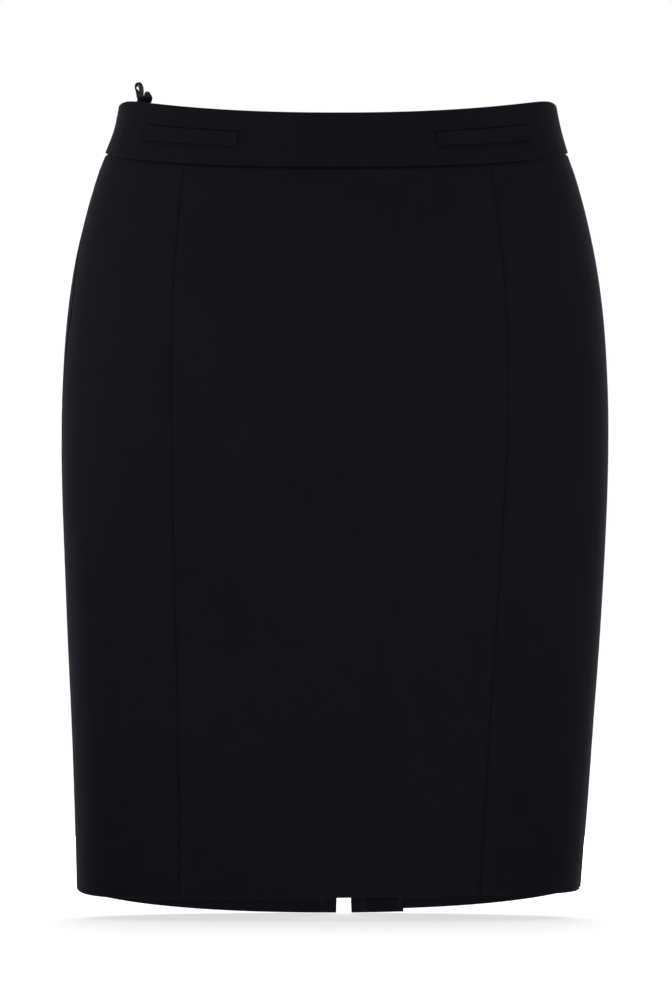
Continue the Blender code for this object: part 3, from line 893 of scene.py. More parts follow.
class Bench:
    """Small jobs at the modelling bench: choosing, adding, cutting, rounding and placing."""

    FACING: float = 0.9  # how far along an axis a face's normal points when the face looks that way
    SHARP_DEG: float = 35
    SMOOTH_DEG: float = 40

    @staticmethod
    def made(name: str, points: Grid, faces: Sequence[Sequence[int]]) -> bpy.types.Object:
        """Makes an object and chooses it.

        Args:
            name: Its name.
            points: Its points, in a grid of any shape.
            faces: The points of each face, by number.

        Returns:
            The object.
        """
        mesh = bpy.data.meshes.new(name)
        mesh.from_pydata(np.asarray(points).reshape(-1, 3).tolist(), [], faces)
        piece = bpy.data.objects.new(name, mesh)
        bpy.context.scene.collection.objects.link(piece)
        Bench.choose(piece)
        return piece

    @staticmethod
    def unroll(piece: bpy.types.Object, corners: Grid) -> None:
        """Stores the place of every face's corners on the flat cut as the piece's UV map."""
        piece.data.uv_layers.new(name="flat_cut").uv.foreach_set("vector", corners.ravel())

    @staticmethod
    def choose(*pieces: bpy.types.Object) -> None:
        """Selects objects, and nothing else.

        Args:
            pieces: The objects, the first of which is made active.
        """
        bpy.ops.object.select_all(action="DESELECT")
        for piece in pieces:
            piece.select_set(True)
        bpy.context.view_layer.objects.active = pieces[0]

    @staticmethod
    def block(name: str, size: Vector, centre: Vector) -> bpy.types.Object:
        """Adds a block.

        Args:
            name: Its name.
            size: Its size along each axis.
            centre: Where its middle is.

        Returns:
            The block, with its size and place in its mesh.
        """
        bpy.ops.object.select_all(action="DESELECT")
        bpy.ops.mesh.primitive_cube_add(size=1, location=centre, scale=size)
        return Bench.named(name)

    @staticmethod
    def drum(
        name: str, radius: float, length: float, centre: Vector, along: Along, sides: int = 32
    ) -> bpy.types.Object:
        """Adds a cylinder.

        Args:
            name: Its name.
            radius: Its radius.
            length: Its length.
            centre: Where its middle is.
            along: The axis it lies along.
            sides: How many sides it has.

        Returns:
            The cylinder, with its size and place in its mesh.
        """
        bpy.ops.object.select_all(action="DESELECT")
        bpy.ops.mesh.primitive_cylinder_add(
            vertices=sides, radius=radius, depth=length, location=centre, rotation=along.value
        )
        return Bench.named(name)

    @staticmethod
    def named(name: str) -> bpy.types.Object:
        """Takes over the object just added.

        Args:
            name: Its name.

        Returns:
            The object, with its place in its mesh.
        """
        piece = bpy.context.view_layer.objects.active
        piece.name = name
        piece.data.name = name
        Bench.choose(piece)
        bpy.ops.object.transform_apply(location=True, rotation=True, scale=True)
        return piece

    @staticmethod
    def combine(piece: bpy.types.Object, other: bpy.types.Object, joining: Joining) -> None:
        """Joins or cuts a piece with another object.

        Args:
            piece: The piece that is kept.
            other: The other object, which is removed.
            joining: Whether it is joined on or cut away.
        """
        change = piece.modifiers.new("Combine", "BOOLEAN")
        change.operation = joining.value
        change.object = other
        change.solver = "EXACT"
        Bench.choose(piece)
        bpy.ops.object.modifier_apply(modifier=change.name)
        bpy.data.objects.remove(other)

    @staticmethod
    def round_off(piece: bpy.types.Object, width: float, steps: int = 2) -> None:
        """Bevels the sharp edges and shades the rest smooth.

        Args:
            piece: The piece.
            width: How wide the bevels are.
            steps: How many faces each one has.
        """
        soft = piece.modifiers.new("Rounding", "BEVEL")
        soft.width = width
        soft.segments = steps
        soft.limit_method = "ANGLE"
        soft.angle_limit = math.radians(Bench.SHARP_DEG)
        Bench.choose(piece)
        bpy.ops.object.modifier_apply(modifier=soft.name)
        bpy.ops.object.shade_smooth_by_angle(angle=math.radians(Bench.SMOOTH_DEG))

    @staticmethod
    def pick(piece: bpy.types.Object, wanted: Callable[[Vector], bool]) -> None:
        """Opens a piece for editing with only some faces chosen.

        Args:
            piece: The piece.
            wanted: A test of a face's normal.
        """
        Bench.choose(piece)
        bpy.ops.object.mode_set(mode="EDIT")
        bpy.ops.mesh.select_mode(type="FACE")
        bpy.ops.mesh.select_all(action="DESELECT")
        shape = bmesh.from_edit_mesh(piece.data)
        for side in shape.faces:
            side.select_set(wanted(side.normal))
        bmesh.update_edit_mesh(piece.data)

    @staticmethod
    def close() -> None:
        """Leaves edit mode."""
        bpy.ops.object.mode_set(mode="OBJECT")

    @staticmethod
    def place(piece: bpy.types.Object, matrix: Matrix) -> None:
        """Moves and turns a piece, in its mesh.

        Args:
            piece: The piece.
            matrix: Where it goes.
        """
        Bench.choose(piece)
        piece.matrix_world = matrix
        bpy.ops.object.transform_apply(location=True, rotation=True, scale=True)


def ride(
    piece: bpy.types.Object,
    finish: bpy.types.Material,
    replaces: Sequence[str] = (),
    body: Body = Body.SKIRT,
) -> None:
    """Dresses a finished piece and puts it on its body.

    Args:
        piece: The finished piece.
        finish: Its material.
        replaces: The frame's nodes that it stands for.
        body: The body that it rides on.
    """
    piece.data.materials.clear()
    piece.data.materials.append(finish)
    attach(piece, body.value)
    if replaces:
        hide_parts(*replaces)
    log.info("%s: %d faces, in %s, on %s", piece.name, len(piece.data.polygons), finish.name, body.value)


# ---------------------------------------------------------------- finishes
@dataclass(frozen=True)
class Value:
    """A number that varies over a surface. Arithmetic on it adds Math nodes."""

    paint: "Paint"
    socket: bpy.types.NodeSocket

    def worked(self, operation: str, *values: "Value | float") -> "Value":
        """Works out one step.

        Args:
            operation: The Math node's operation.
            values: What it works on.

        Returns:
            The result.
        """
        inputs = {i: value.socket if isinstance(value, Value) else value for i, value in enumerate(values)}
        made = self.paint.node("ShaderNodeMath", {"operation": operation}, inputs)
        return Value(self.paint, made.outputs[0])

    def __add__(self, other: "Value | float") -> "Value":
        """Adds."""
        return self.worked("ADD", self, other)

    __radd__ = __add__

    def __mul__(self, other: "Value | float") -> "Value":
        """Multiplies."""
        return self.worked("MULTIPLY", self, other)

    __rmul__ = __mul__

    def __sub__(self, other: "Value | float") -> "Value":
        """Takes other away."""
        return self.worked("SUBTRACT", self, other)

    def __rsub__(self, other: "Value | float") -> "Value":
        """Is taken away from other."""
        return self.worked("SUBTRACT", other, self)

    def stripes(self, pitch: float) -> "Value":
        """A wave from 0 to 1, this far from crest to crest."""
        return self.worked("SINE", self * (math.tau / pitch)) * 0.5 + 0.5

    def smooth(self, low: float, high: float) -> "Value":
        """Eases it.

        Args:
            low: Where the result is 0.
            high: Where the result is 1.

        Returns:
            A number from 0 to 1.
        """
        made = self.paint.node(
            "ShaderNodeMapRange",
            {"interpolation_type": "SMOOTHSTEP", "clamp": True},
            {"Value": self.socket, "From Min": low, "From Max": high},
        )
        return Value(self.paint, made.outputs["Result"])


class Paint:
    """A material in the making, with its nodes."""

    NOISE_ROUGHNESS: float = 0.55

    def __init__(self, name: str) -> None:
        """Starts a Principled material.

        Args:
            name: Its name.
        """
        self.material = bpy.data.materials.new(name)
        self.material.use_nodes = True
        self.tree = self.material.node_tree
        self.shader = self.tree.nodes["Principled BSDF"]

    def node(self, kind: str, settings: dict, inputs: dict) -> bpy.types.Node:
        """Adds a node.

        Args:
            kind: The node's type.
            settings: Its properties, set first.
            inputs: Values or sockets for its inputs, by name or number.

        Returns:
            The node.
        """
        made = self.tree.nodes.new(kind)
        for name, value in settings.items():
            setattr(made, name, value)
        for name, value in inputs.items():
            self.feed(made.inputs[name], value)
        return made

    def feed(self, socket: bpy.types.NodeSocket, value: object) -> None:
        """Feeds an input.

        Args:
            socket: The input.
            value: A Value or a socket to link into it, or a plain value to set it to.
        """
        if isinstance(value, Value):
            value = value.socket
        if isinstance(value, bpy.types.NodeSocket):
            self.tree.links.new(value, socket)
        else:
            socket.default_value = value

    def cloth_plane(self) -> tuple[Value, Value, bpy.types.NodeSocket]:
        """Metres across and up the flat cut, and both as one vector."""
        flat = self.node("ShaderNodeUVMap", {"uv_map": "flat_cut"}, {}).outputs["UV"]
        parts = self.node("ShaderNodeSeparateXYZ", {}, {0: flat})
        return Value(self, parts.outputs["X"]), Value(self, parts.outputs["Y"]), flat

    def object_place(self) -> bpy.types.NodeSocket:
        """The place in the piece's own space."""
        return self.node("ShaderNodeTexCoord", {}, {}).outputs["Object"]

    def distance(self, place: bpy.types.NodeSocket) -> Value:
        """How far a place is from the origin."""
        made = self.node("ShaderNodeVectorMath", {"operation": "LENGTH"}, {0: place})
        return Value(self, made.outputs["Value"])

    def attribute(self, name: str) -> Value:
        """A number stored on the mesh."""
        made = self.node("ShaderNodeAttribute", {"attribute_name": name}, {})
        return Value(self, made.outputs["Fac"])

    def noise(self, place: bpy.types.NodeSocket, size: Size, detail: float = 2.0) -> Value:
        """Soft noise.

        Args:
            place: The coordinates.
            size: How large its blots are along each axis, in metres.
            detail: How many finer layers it has.

        Returns:
            A number from 0 to 1.
        """
        stretched = self.node(
            "ShaderNodeMapping",
            {"vector_type": "POINT"},
            {"Vector": place, "Scale": tuple(1 / length for length in size)},
        )
        made = self.node(
            "ShaderNodeTexNoise",
            {"noise_dimensions": "3D"},
            {
                "Vector": stretched.outputs[0],
                "Scale": 1.0,
                "Detail": detail,
                "Roughness": self.NOISE_ROUGHNESS,
            },
        )
        return Value(self, made.outputs["Fac"])

    def mixed(
        self, low: Colour | bpy.types.NodeSocket, high: Colour | bpy.types.NodeSocket, share: Value
    ) -> bpy.types.NodeSocket:
        """A colour between two colours.

        Args:
            low: The colour at 0.
            high: The colour at 1.
            share: How far it is from low to high.

        Returns:
            The colour.
        """
        made = self.node("ShaderNodeMix", {"data_type": "RGBA", "clamp_factor": True}, {"Factor": share})
        colours = [socket for socket in made.inputs if socket.type == "RGBA"]
        for socket, value in zip(colours, (low, high)):
            self.feed(socket, value if isinstance(value, bpy.types.NodeSocket) else (*value, 1.0))
        return next(socket for socket in made.outputs if socket.type == "RGBA")

    def bump(self, height: Value, distance: float, strength: float = 1.0) -> bpy.types.NodeSocket:
        """A normal from a height of 0 to 1, where 1 stands this far out."""
        inputs = {"Height": height, "Distance": distance, "Strength": strength}
        return self.node("ShaderNodeBump", {}, inputs).outputs["Normal"]

    def finish(self, inputs: dict, shown: Colour) -> bpy.types.Material:
        """Finishes the material.

        Args:
            inputs: The shader's inputs, by name.
            shown: The plain colour that a viewport shows.

        Returns:
            The material.
        """
        for name, value in inputs.items():
            self.feed(self.shader.inputs[name], value)
        self.material.diffuse_color = (*shown, 1.0)
        return self.material


@dataclass(frozen=True)
class Suiting:
    """Fine twill suiting, nearly black, with a blue bloom where it turns away."""

    name: str = "navy_suiting"
    deep: Colour = (0.0018, 0.0017, 0.0028)
    raised: Colour = (0.0030, 0.0028, 0.0044)
    overlock: Colour = (0.0048, 0.0045, 0.0067)
    # painted shade: the colour that seams, folds and pressed places are darkened towards
    crushed: Colour = (0.0002, 0.0002, 0.0003)
    twill: float = 0.00062
    roughness: float = 0.86
    gloss: float = 0.026
    bloom: float = 0.030
    bloom_roughness: float = 0.32
    bloom_tint: Colour = (0.78, 0.76, 1.0)
    cloud_size: Size = (0.080, 0.080, 0.120)
    mottle_size: Size = (0.0085, 0.0085, 0.0130)
    felt_size: Size = (0.0022, 0.0022, 0.0036)
    warp_size: Size = (0.00045, 0.0120, 1.0)
    weft_size: Size = (0.0110, 0.00050, 1.0)
    overlock_edge: tuple[float, float] = (0.0038, 0.0044)
    overlock_stitch: float = 0.0016
    tone_span: tuple[float, float] = (0.28, 0.72)
    unevenness: float = 0.16
    relief: float = 0.00011

    def material(self) -> bpy.types.Material:
        """Makes the material."""
        paint = Paint(self.name)
        across, up, flat = paint.cloth_plane()
        place = paint.object_place()
        cloud = paint.noise(place, self.cloud_size, detail=1.0)
        mottle = paint.noise(place, self.mottle_size)
        felt = paint.noise(place, self.felt_size)
        warp = paint.noise(flat, self.warp_size, detail=1.0)
        weft = paint.noise(flat, self.weft_size, detail=1.0)
        rib = (across + up).stripes(self.twill)
        yarn = across.stripes(self.twill)
        thread = rib * 0.45 + yarn * 0.15 + warp * 0.25 + weft * 0.15
        tone = cloud * 0.16 + mottle * 0.24 + felt * 0.26 + thread * 0.34
        cloth = paint.mixed(self.deep, self.raised, tone.smooth(*self.tone_span))
        # painted shade: darkens the cloth where the hollow attribute marks a seam, fold or pressed place
        cloth = paint.mixed(cloth, self.crushed, paint.attribute("hollow"))
        edge = 1 - paint.attribute("raw_edge").smooth(*self.overlock_edge)
        stitch = (up + across).stripes(self.overlock_stitch)
        colour = paint.mixed(cloth, self.overlock, edge * (stitch * 0.7 + 0.3))
        height = thread * 0.50 + felt * 0.35 + edge * stitch * 1.4
        return paint.finish(
            {
                "Base Color": colour,
                "Roughness": self.roughness + (felt - 0.5) * self.unevenness,
                "Normal": paint.bump(height, self.relief),
                "Specular IOR Level": self.gloss,
                "Sheen Weight": self.bloom,
                "Sheen Roughness": self.bloom_roughness,
                "Sheen Tint": (*self.bloom_tint, 1.0),
            },
            self.raised,
        )


@dataclass(frozen=True)
class WovenTape:
    """Narrow woven tape, with ribs along its length."""

    name: str
    deep: Colour
    raised: Colour
    rib: float
    roughness: float
    gloss: float
    bloom: float = 0.0
    rib_depth: float = 0.00010
    picks_to_ribs: float = 1.3
    unevenness: float = 0.2
    slub_size: Size = (0.0009, 0.0022, 1.0)

    def material(self) -> bpy.types.Material:
        """Makes the material."""
        paint = Paint(self.name)
        across, up, flat = paint.cloth_plane()
        slub = paint.noise(flat, self.slub_size, detail=1.0)
        ribs = across.stripes(self.rib)
        picks = up.stripes(self.rib * self.picks_to_ribs)
        relief = ribs * 0.5 + picks * 0.3 + slub * 0.2
        return paint.finish(
            {
                "Base Color": paint.mixed(self.deep, self.raised, relief),
                "Roughness": self.roughness + (slub - 0.5) * self.unevenness,
                "Normal": paint.bump(relief, self.rib_depth),
                "Specular IOR Level": self.gloss,
                "Sheen Weight": self.bloom,
            },
            self.raised,
        )


@dataclass(frozen=True)
class Lacquer:
    """Dark lacquer on zip metal, rubbed a little brighter in small random patches."""

    name: str = "dark_zip_lacquer"
    coat: Colour = (0.012, 0.012, 0.016)
    rubbed: Colour = (0.034, 0.034, 0.040)
    rubbed_from: float = 0.62
    rubbed_to: float = 0.95
    metallic: float = 0.85
    roughness: float = 0.40
    unevenness: float = 0.16
    wear_size: Size = (0.0007, 0.0007, 0.0010)
    scratch_size: Size = (0.00025, 0.00025, 0.0040)
    relief: float = 0.00003

    def material(self) -> bpy.types.Material:
        """Makes the material."""
        paint = Paint(self.name)
        place = paint.object_place()
        wear = paint.noise(place, self.wear_size, detail=3.0)
        scratch = paint.noise(place, self.scratch_size)
        rubbed = (wear + scratch * 0.3).smooth(self.rubbed_from, self.rubbed_to)
        return paint.finish(
            {
                "Base Color": paint.mixed(self.coat, self.rubbed, rubbed),
                "Metallic": self.metallic,
                "Roughness": self.roughness + scratch * self.unevenness,
                "Normal": paint.bump(wear * 0.6 + scratch * 0.4, self.relief),
            },
            self.coat,
        )


@dataclass(frozen=True)
class Nylon:
    """Smooth dark nylon of the zip's coil."""

    name: str = "navy_nylon"
    deep: Colour = (0.0060, 0.0058, 0.0092)
    raised: Colour = (0.0105, 0.0100, 0.0150)
    roughness: float = 0.34
    unevenness: float = 0.2
    gloss: float = 0.35
    blot_size: Size = (0.0030, 0.0030, 0.0012)

    def material(self) -> bpy.types.Material:
        """Makes the material."""
        paint = Paint(self.name)
        blot = paint.noise(paint.object_place(), self.blot_size)
        return paint.finish(
            {
                "Base Color": paint.mixed(self.deep, self.raised, blot),
                "Roughness": self.roughness + blot * self.unevenness,
                "Specular IOR Level": self.gloss,
            },
            self.raised,
        )


class Wardrobe:
    """Every finish, made once."""

    def __init__(self) -> None:
        """Makes the materials."""
        self.suiting = Suiting().material()
        self.wrong_side = Suiting("navy_turned_cloth", bloom=0.06, roughness=0.92).material()
        self.zip_tape = WovenTape(
            name="navy_zip_tape",
            deep=(0.0050, 0.0048, 0.0074),
            raised=(0.0092, 0.0088, 0.0130),
            rib=0.00070,
            roughness=0.80,
            gloss=0.06,
        ).material()
        self.loop_tape = WovenTape(
            name="black_satin_tape",
            deep=(0.0070, 0.0070, 0.0074),
            raised=(0.0120, 0.0120, 0.0126),
            rib=0.00050,
            roughness=0.48,
            gloss=0.05,
            bloom=0.005,
        ).material()
        self.metal = Lacquer().material()
        self.nylon = Nylon().material()


# ---------------------------------------------------------------- sub-assemblies
class Seam(NamedTuple):
    """A seam's line, and the seed of its unevenness, alike in both panels that it joins."""

    line: Line
    seed: float


@dataclass(frozen=True)
class Panels:
    """The five panels of the skirt, with their seam allowances pressed open and the hem turned up."""

    cut: Cut
    seam: Fold = Fold(radius=0.00044, allowance=0.0125, nearby=(0.0006, 0.0014, 0.0025))
    hem: Fold = Fold(radius=0.00078, allowance=0.0380, inner_keeps=-0.3, steps=8, nearby=(0.0012, 0.0030))
    waist: Tucked = Tucked(dip=0.00150, caught=0.00022, allowance=0.0060)
    below_band: float = 0.00050
    rows: int = 92
    column_width: float = 0.0032
    front_width: float = 0.225
    side_front_width: float = 0.13
    back_width: float = 0.30
    dart_share: float = 0.38
    dart_foot: float = -0.150
    dart_depth: float = 0.00075
    dart_half_width: float = 0.0006
    dart_reach: float = 0.006  # beside the dart, where it takes the place of plain grid lines

    def sheet(self, name: str, start: Seam, end: Seam, hem: Line, width: float) -> Sheet:
        """One panel's sheet.

        Args:
            name: The panel's name.
            start: Its seam nearer the wearer's right, as the columns run.
            end: Its other seam.
            hem: Its hem line.
            width: Its width round the body, which sets the number of columns.

        Returns:
            The sheet, not yet built.
        """
        edge = self.seam.stops()
        return Sheet(
            name=f"{name}_cloth",
            cut=self.cut,
            start=self.cut.moved(start.line, -self.cut.bite),
            end=self.cut.moved(end.line, self.cut.bite),
            low=hem,
            high=lambda turn: self.cut.waist_seam(turn) - self.below_band,
            across=edge + face(round(width / self.column_width))[1:-1] + mirrored(edge),
            up=self.hem.stops() + face(self.rows) + mirrored(self.waist.stops()),
            pucker=Pucker(start_seed=start.seed, end_seed=end.seed),
            raw_sides=True,
            raw_foot=True,
        )

    def with_dart(self, sheet: Sheet, share: float) -> Sheet:
        """A back panel's sheet with a dart sewn in, at a share of its width."""
        dart = sewn_line(share, self.dart_depth, self.dart_half_width)
        return replace(sheet, across=let_in(sheet.across, dart, self.dart_reach), groove_foot=self.dart_foot)

    def build(self, wardrobe: Wardrobe) -> None:
        """Builds and dresses the panels, from the front round to the back.

        Args:
            wardrobe: The finishes.
        """
        cut = self.cut
        princess_right = Seam(cut.princess_right, seed=0.4)
        princess_left = Seam(cut.princess_left, seed=1.3)
        side_right = Seam(cut.side_right, seed=3.2)
        side_left = Seam(cut.side_left, seed=2.6)
        centre_right = Seam(cut.flush_right, seed=4.1)
        centre_left = Seam(cut.flush_left, seed=4.1)
        front, wide, narrow = cut.hem_front, self.front_width, self.side_front_width
        back_right = self.sheet("back_panel_right", centre_right, side_right, cut.hem_back, self.back_width)
        back_left = self.sheet("back_panel_left", side_left, centre_left, cut.hem_back_left, self.back_width)
        sheets = (
            (self.sheet("front_centre_panel", princess_right, princess_left, front, wide), "front"),
            (self.sheet("front_side_panel_right", side_right, princess_right, front, narrow), "front"),
            (self.sheet("front_side_panel_left", princess_left, side_left, front, narrow), "front"),
            (self.with_dart(back_right, self.dart_share), "back_right"),
            (self.with_dart(back_left, 1 - self.dart_share), "back_left"),
        )
        for sheet, band in sheets:
            sheet.dress(wardrobe.suiting, Slot.SUITING, [f"waistband_{band}_cloth"])


class Dip(NamedTuple):
    """A hollow beside an edge: its depth, how far out from the edge it lies, and its reach."""

    depth: float
    out: float
    reach: float

    def at(self, distance: Grid) -> Grid:
        """How deep it is at a distance out from the edge."""
        return self.depth * bell((distance - self.out) / self.reach)


@dataclass(frozen=True)
class Waistband:
    """The shaped band: a front and two backs, each folded over at the top, and the two mock welts."""

    cut: Cut
    thickness: float = 0.0024
    # hollow paints shade along the band's bottom fold
    edge: Fold = Fold(radius=0.00050, allowance=0.0080, inner_keeps=0.15, hollow=0.5)
    end: Fold = Fold(radius=0.00045, allowance=0.0060)
    top_steps: int = 10
    top_nearby: tuple[float, ...] = (0.0022, 0.0009)
    rows: int = 9
    column_width: float = 0.0031
    front_width: float = 0.40
    back_width: float = 0.21
    welt_inner: float = 0.428
    welt_outer: float = 0.840
    welt_low: float = 0.36
    welt_high: float = 0.61
    welt_thickness: float = 0.0010
    welt_cloth: float = 0.00036
    welt_columns: int = 24
    welt_rows: int = 6
    # hollow paints shade along the welts' edges
    welt_edge: Fold = Fold(radius=0.00040, allowance=0.0028, nearby=(0.0005, 0.0011), hollow=0.55)
    # shade painted at each welt's inner and outer end
    inner_hollow: float = 0.20
    outer_hollow: float = 0.95
    welt_line: tuple[float, ...] = (-0.0016, -0.0010, -0.0005, -0.0001, 0.0003, 0.0007, 0.0012, 0.0018)
    welt_reach_up: float = 0.06  # beside a welt's edge, where its grid lines take the plain ones' place
    welt_reach_across: float = 0.007
    corner: float = 0.001
    opening: Dip = Dip(0.00100, 0.0003, 0.00045)
    foot: Dip = Dip(0.00055, 0.0004, 0.0009)
    inner_end: Dip = Dip(0.00030, 0.0003, 0.0005)
    outer_end: Dip = Dip(0.00120, 0.0003, 0.0006)

    def beside_welts(self, turn: Grid, height: Grid) -> Grid:
        """How far the band is drawn in round the welts, most above them, where they open, which also sets
        the shade painted there.

        Args:
            turn: Turns round the body.
            height: Heights.

        Returns:
            Distances in from the band's face.
        """
        seam, top = self.cut.waist_seam(turn), self.cut.top_edge(turn)
        above = height - between(seam, top, self.welt_high)
        below = between(seam, top, self.welt_low) - height
        inner, outer = self.welt_turns()
        speed = self.cut.form.speed(turn, height)
        inside, outside = (inner - np.abs(turn)) * speed, (np.abs(turn) - outer) * speed
        beyond = np.maximum(inside, outside)
        along = smooth_step(0.5 - beyond / self.corner)
        beside = smooth_step(0.5 - np.maximum(above, below) / self.corner)
        edges = self.opening.at(above) + self.foot.at(below)
        ends = self.inner_end.at(inside) + self.outer_end.at(outside)
        return edges * along + ends * beside

    def welt_turns(self) -> Grid:
        """The turns of a welt's inner and outer end."""
        return self.cut.form.turn_of_share(np.array([self.welt_inner, self.welt_outer]))

    def outlined(self, stops: Sequence[Stop], shares: Sequence[float], reach: float) -> list[Stop]:
        """Adds grid lines beside the welts' edges.

        Args:
            stops: The plain grid lines.
            shares: The shares at which the edges lie.
            reach: How near an edge a plain grid line is left out.

        Returns:
            The grid lines in order.
        """
        for share in shares:
            stops = let_in(stops, [Stop(share, shift) for shift in self.welt_line], reach)
        return list(stops)

    def height_stops(self, welts: bool) -> list[Stop]:
        """Grid lines up the outer layer, over the top and down the inner layer.

        Args:
            welts: Whether the outer layer carries the welts.

        Returns:
            The grid lines in order, with both turned-in edges.
        """
        radius = self.thickness / 2
        rise = self.edge.stops() + face(self.rows)
        fall = [stop._replace(sink=self.thickness - stop.sink, keeps=-stop.keeps) for stop in reversed(rise)]
        if welts:
            rise = self.outlined(rise, (self.welt_low, self.welt_high), self.welt_reach_up)
        outside = [Stop(1, -radius - distance) for distance in self.top_nearby]
        inside = [stop._replace(sink=self.thickness, keeps=-1.0) for stop in reversed(outside)]
        over = []
        for i in range(self.top_steps + 1):
            bend = math.pi * i / self.top_steps
            place, sink = radius * (math.sin(bend) - 1), radius * (1 - math.cos(bend))
            over.append(Stop(1, place, sink, math.cos(bend), lift=-math.sin(bend)))
        return rise + outside + over + inside + fall

    def sheet(self, name: str, start: Line, end: Line, width: float, welts: bool = False) -> Sheet:
        """One piece of the band.

        Args:
            name: The piece's name.
            start: Its end nearer the wearer's right, as the columns run.
            end: Its other end.
            width: Its width round the body, which sets the number of columns.
            welts: Whether it carries the two welts.

        Returns:
            The sheet, not yet built.
        """
        across = self.end.stops() + face(round(width / self.column_width)) + mirrored(self.end.stops())
        if welts:
            shares = sorted(
                float(0.5 + side.value * turn / math.pi) for side in Side for turn in self.welt_turns()
            )
            across = self.outlined(across, shares, self.welt_reach_across)
        return Sheet(
            name=f"{name}_cloth",
            cut=self.cut,
            start=self.cut.moved(start, -self.cut.bite),
            end=self.cut.moved(end, self.cut.bite),
            low=lambda turn: self.cut.waist_seam(turn) + self.cut.half_gap,
            high=self.cut.top_edge,
            across=across,
            up=self.height_stops(welts),
            outward=self.cut.band_proud,
            press=self.beside_welts if welts else None,
        )

    def welt(self, side: Side) -> Sheet:
        """A mock welt, on the front of the band.

        Args:
            side: The side it is on.

        Returns:
            Its sheet, not yet built.
        """
        cut = self.cut
        turns = [cut.form.turn_of_share(np.array(share)) for share in (self.welt_inner, self.welt_outer)]
        first, last = sorted(float(turn * side.value) for turn in turns)
        inner_end = replace(self.welt_edge, hollow=self.inner_hollow).stops()
        outer_end = replace(self.welt_edge, hollow=self.outer_hollow).stops()
        ends = (outer_end, inner_end) if side is Side.RIGHT else (inner_end, outer_end)

        def level(share: float) -> Line:
            """A line along the band, at a share of its height."""
            return lambda turn: between(cut.waist_seam(turn) + cut.half_gap, cut.top_edge(turn), share)

        return Sheet(
            name=f"welt_{side.word}_cloth",
            cut=cut,
            start=steady(first),
            end=steady(last),
            low=level(self.welt_low),
            high=level(self.welt_high),
            across=ends[0] + face(self.welt_columns) + mirrored(ends[1]),
            up=self.welt_edge.stops() + face(self.welt_rows) + mirrored(self.welt_edge.stops()),
            outward=cut.band_proud + cut.gap + self.welt_thickness,
            thickness=self.welt_cloth,
        )

    def build(self, wardrobe: Wardrobe, tapes: Sequence[bpy.types.Object]) -> None:
        """Builds and dresses the band and its welts.

        Args:
            wardrobe: The finishes.
            tapes: The hanger loops' tapes, which are sewn in the band's right back.
        """
        cut = self.cut
        right, left = steady(-QUARTER), steady(QUARTER)
        front = self.sheet("waistband_front", right, left, self.front_width, welts=True)
        back_right = self.sheet("waistband_back_right", cut.flush_right, right, self.back_width)
        back_left = self.sheet("waistband_back_left", left, cut.flush_left, self.back_width)
        front.dress(wardrobe.suiting, Slot.SUITING, [])
        back_right.dress(wardrobe.suiting, Slot.SUITING, [], tapes)
        back_left.dress(wardrobe.suiting, Slot.SUITING, [])
        for side in (Side.RIGHT, Side.LEFT):
            self.welt(side).dress(wardrobe.suiting, Slot.SUITING, [front.name])


@dataclass(frozen=True)
class SlitFacing:
    """The facing turned in along the left side of the walking slit."""

    cut: Cut
    width: float = 0.036
    above_slit: float = 0.012
    liner_gap: float = 0.0005
    cloth: float = 0.00040
    columns: int = 10
    rows: int = 34
    edge: Fold = Fold(radius=0.00042, allowance=0.0100)

    def build(self, wardrobe: Wardrobe) -> None:
        """Builds and dresses the facing.

        Args:
            wardrobe: The finishes.
        """
        cut = self.cut
        sheet = Sheet(
            name="slit_facing_left_cloth",
            cut=cut,
            start=cut.moved(cut.back_edge_left, -self.width),
            end=cut.back_edge_left,
            low=cut.hem_back,
            high=steady(cut.slit_top + self.above_slit),
            across=plain(self.columns)[:-1] + mirrored(self.edge.stops()),
            up=self.edge.stops() + face(self.rows) + [Stop(1)],
            outward=-cut.wall - self.liner_gap,
            thickness=self.cloth,
            raw_sides=True,
        )
        sheet.dress(wardrobe.wrong_side, Slot.TURNED, ["back_panel_left_cloth"])


class TapeStation(NamedTuple):
    """A place on a hanger loop's tape. At twist 0 the tape's width lies along Y, at 90 along X."""

    x: float
    y: float
    z: float
    twist: float


class SewnEnd(NamedTuple):
    """Where a tape is sewn against the band, and how far it has come away from it there."""

    height: float
    lift: float


SEWN_ENDS = (SewnEnd(-0.0310, 0.0), SewnEnd(-0.0265, 0.0002), SewnEnd(-0.0220, 0.0009))

TALL_LOOP = (
    TapeStation(-0.1425, -0.0045, -0.0110, 0),
    TapeStation(-0.1353, -0.0048, -0.0012, 20),
    TapeStation(-0.1352, -0.0047, 0.0024, 30),
    TapeStation(-0.1356, -0.0044, 0.0058, 38),
    TapeStation(-0.1368, -0.0041, 0.0083, 14),
    TapeStation(-0.1362, -0.0036, 0.0103, 36),
    TapeStation(-0.1346, -0.0031, 0.0109, 72),
    TapeStation(-0.1333, -0.0027, 0.0092, 72),
    TapeStation(-0.1329, -0.0022, 0.0062, 70),
    TapeStation(-0.1331, -0.0015, 0.0028, 70),
    TapeStation(-0.1335, -0.0006, -0.0012, 70),
    TapeStation(-0.1405, 0.0003, -0.0105, 35),
)

LOW_LOOP = (
    TapeStation(-0.1392, 0.0064, -0.0125, 40),
    TapeStation(-0.1314, 0.0046, -0.0035, 80),
    TapeStation(-0.1303, 0.0034, 0.0012, 88),
    TapeStation(-0.1299, 0.0031, 0.0035, 62),
    TapeStation(-0.1293, 0.0042, 0.0051, 34),
    TapeStation(-0.1282, 0.0058, 0.0041, 60),
    TapeStation(-0.1277, 0.0072, 0.0008, 88),
    TapeStation(-0.1335, 0.0092, -0.0075, 60),
    TapeStation(-0.1425, 0.0108, -0.0160, 20),
)


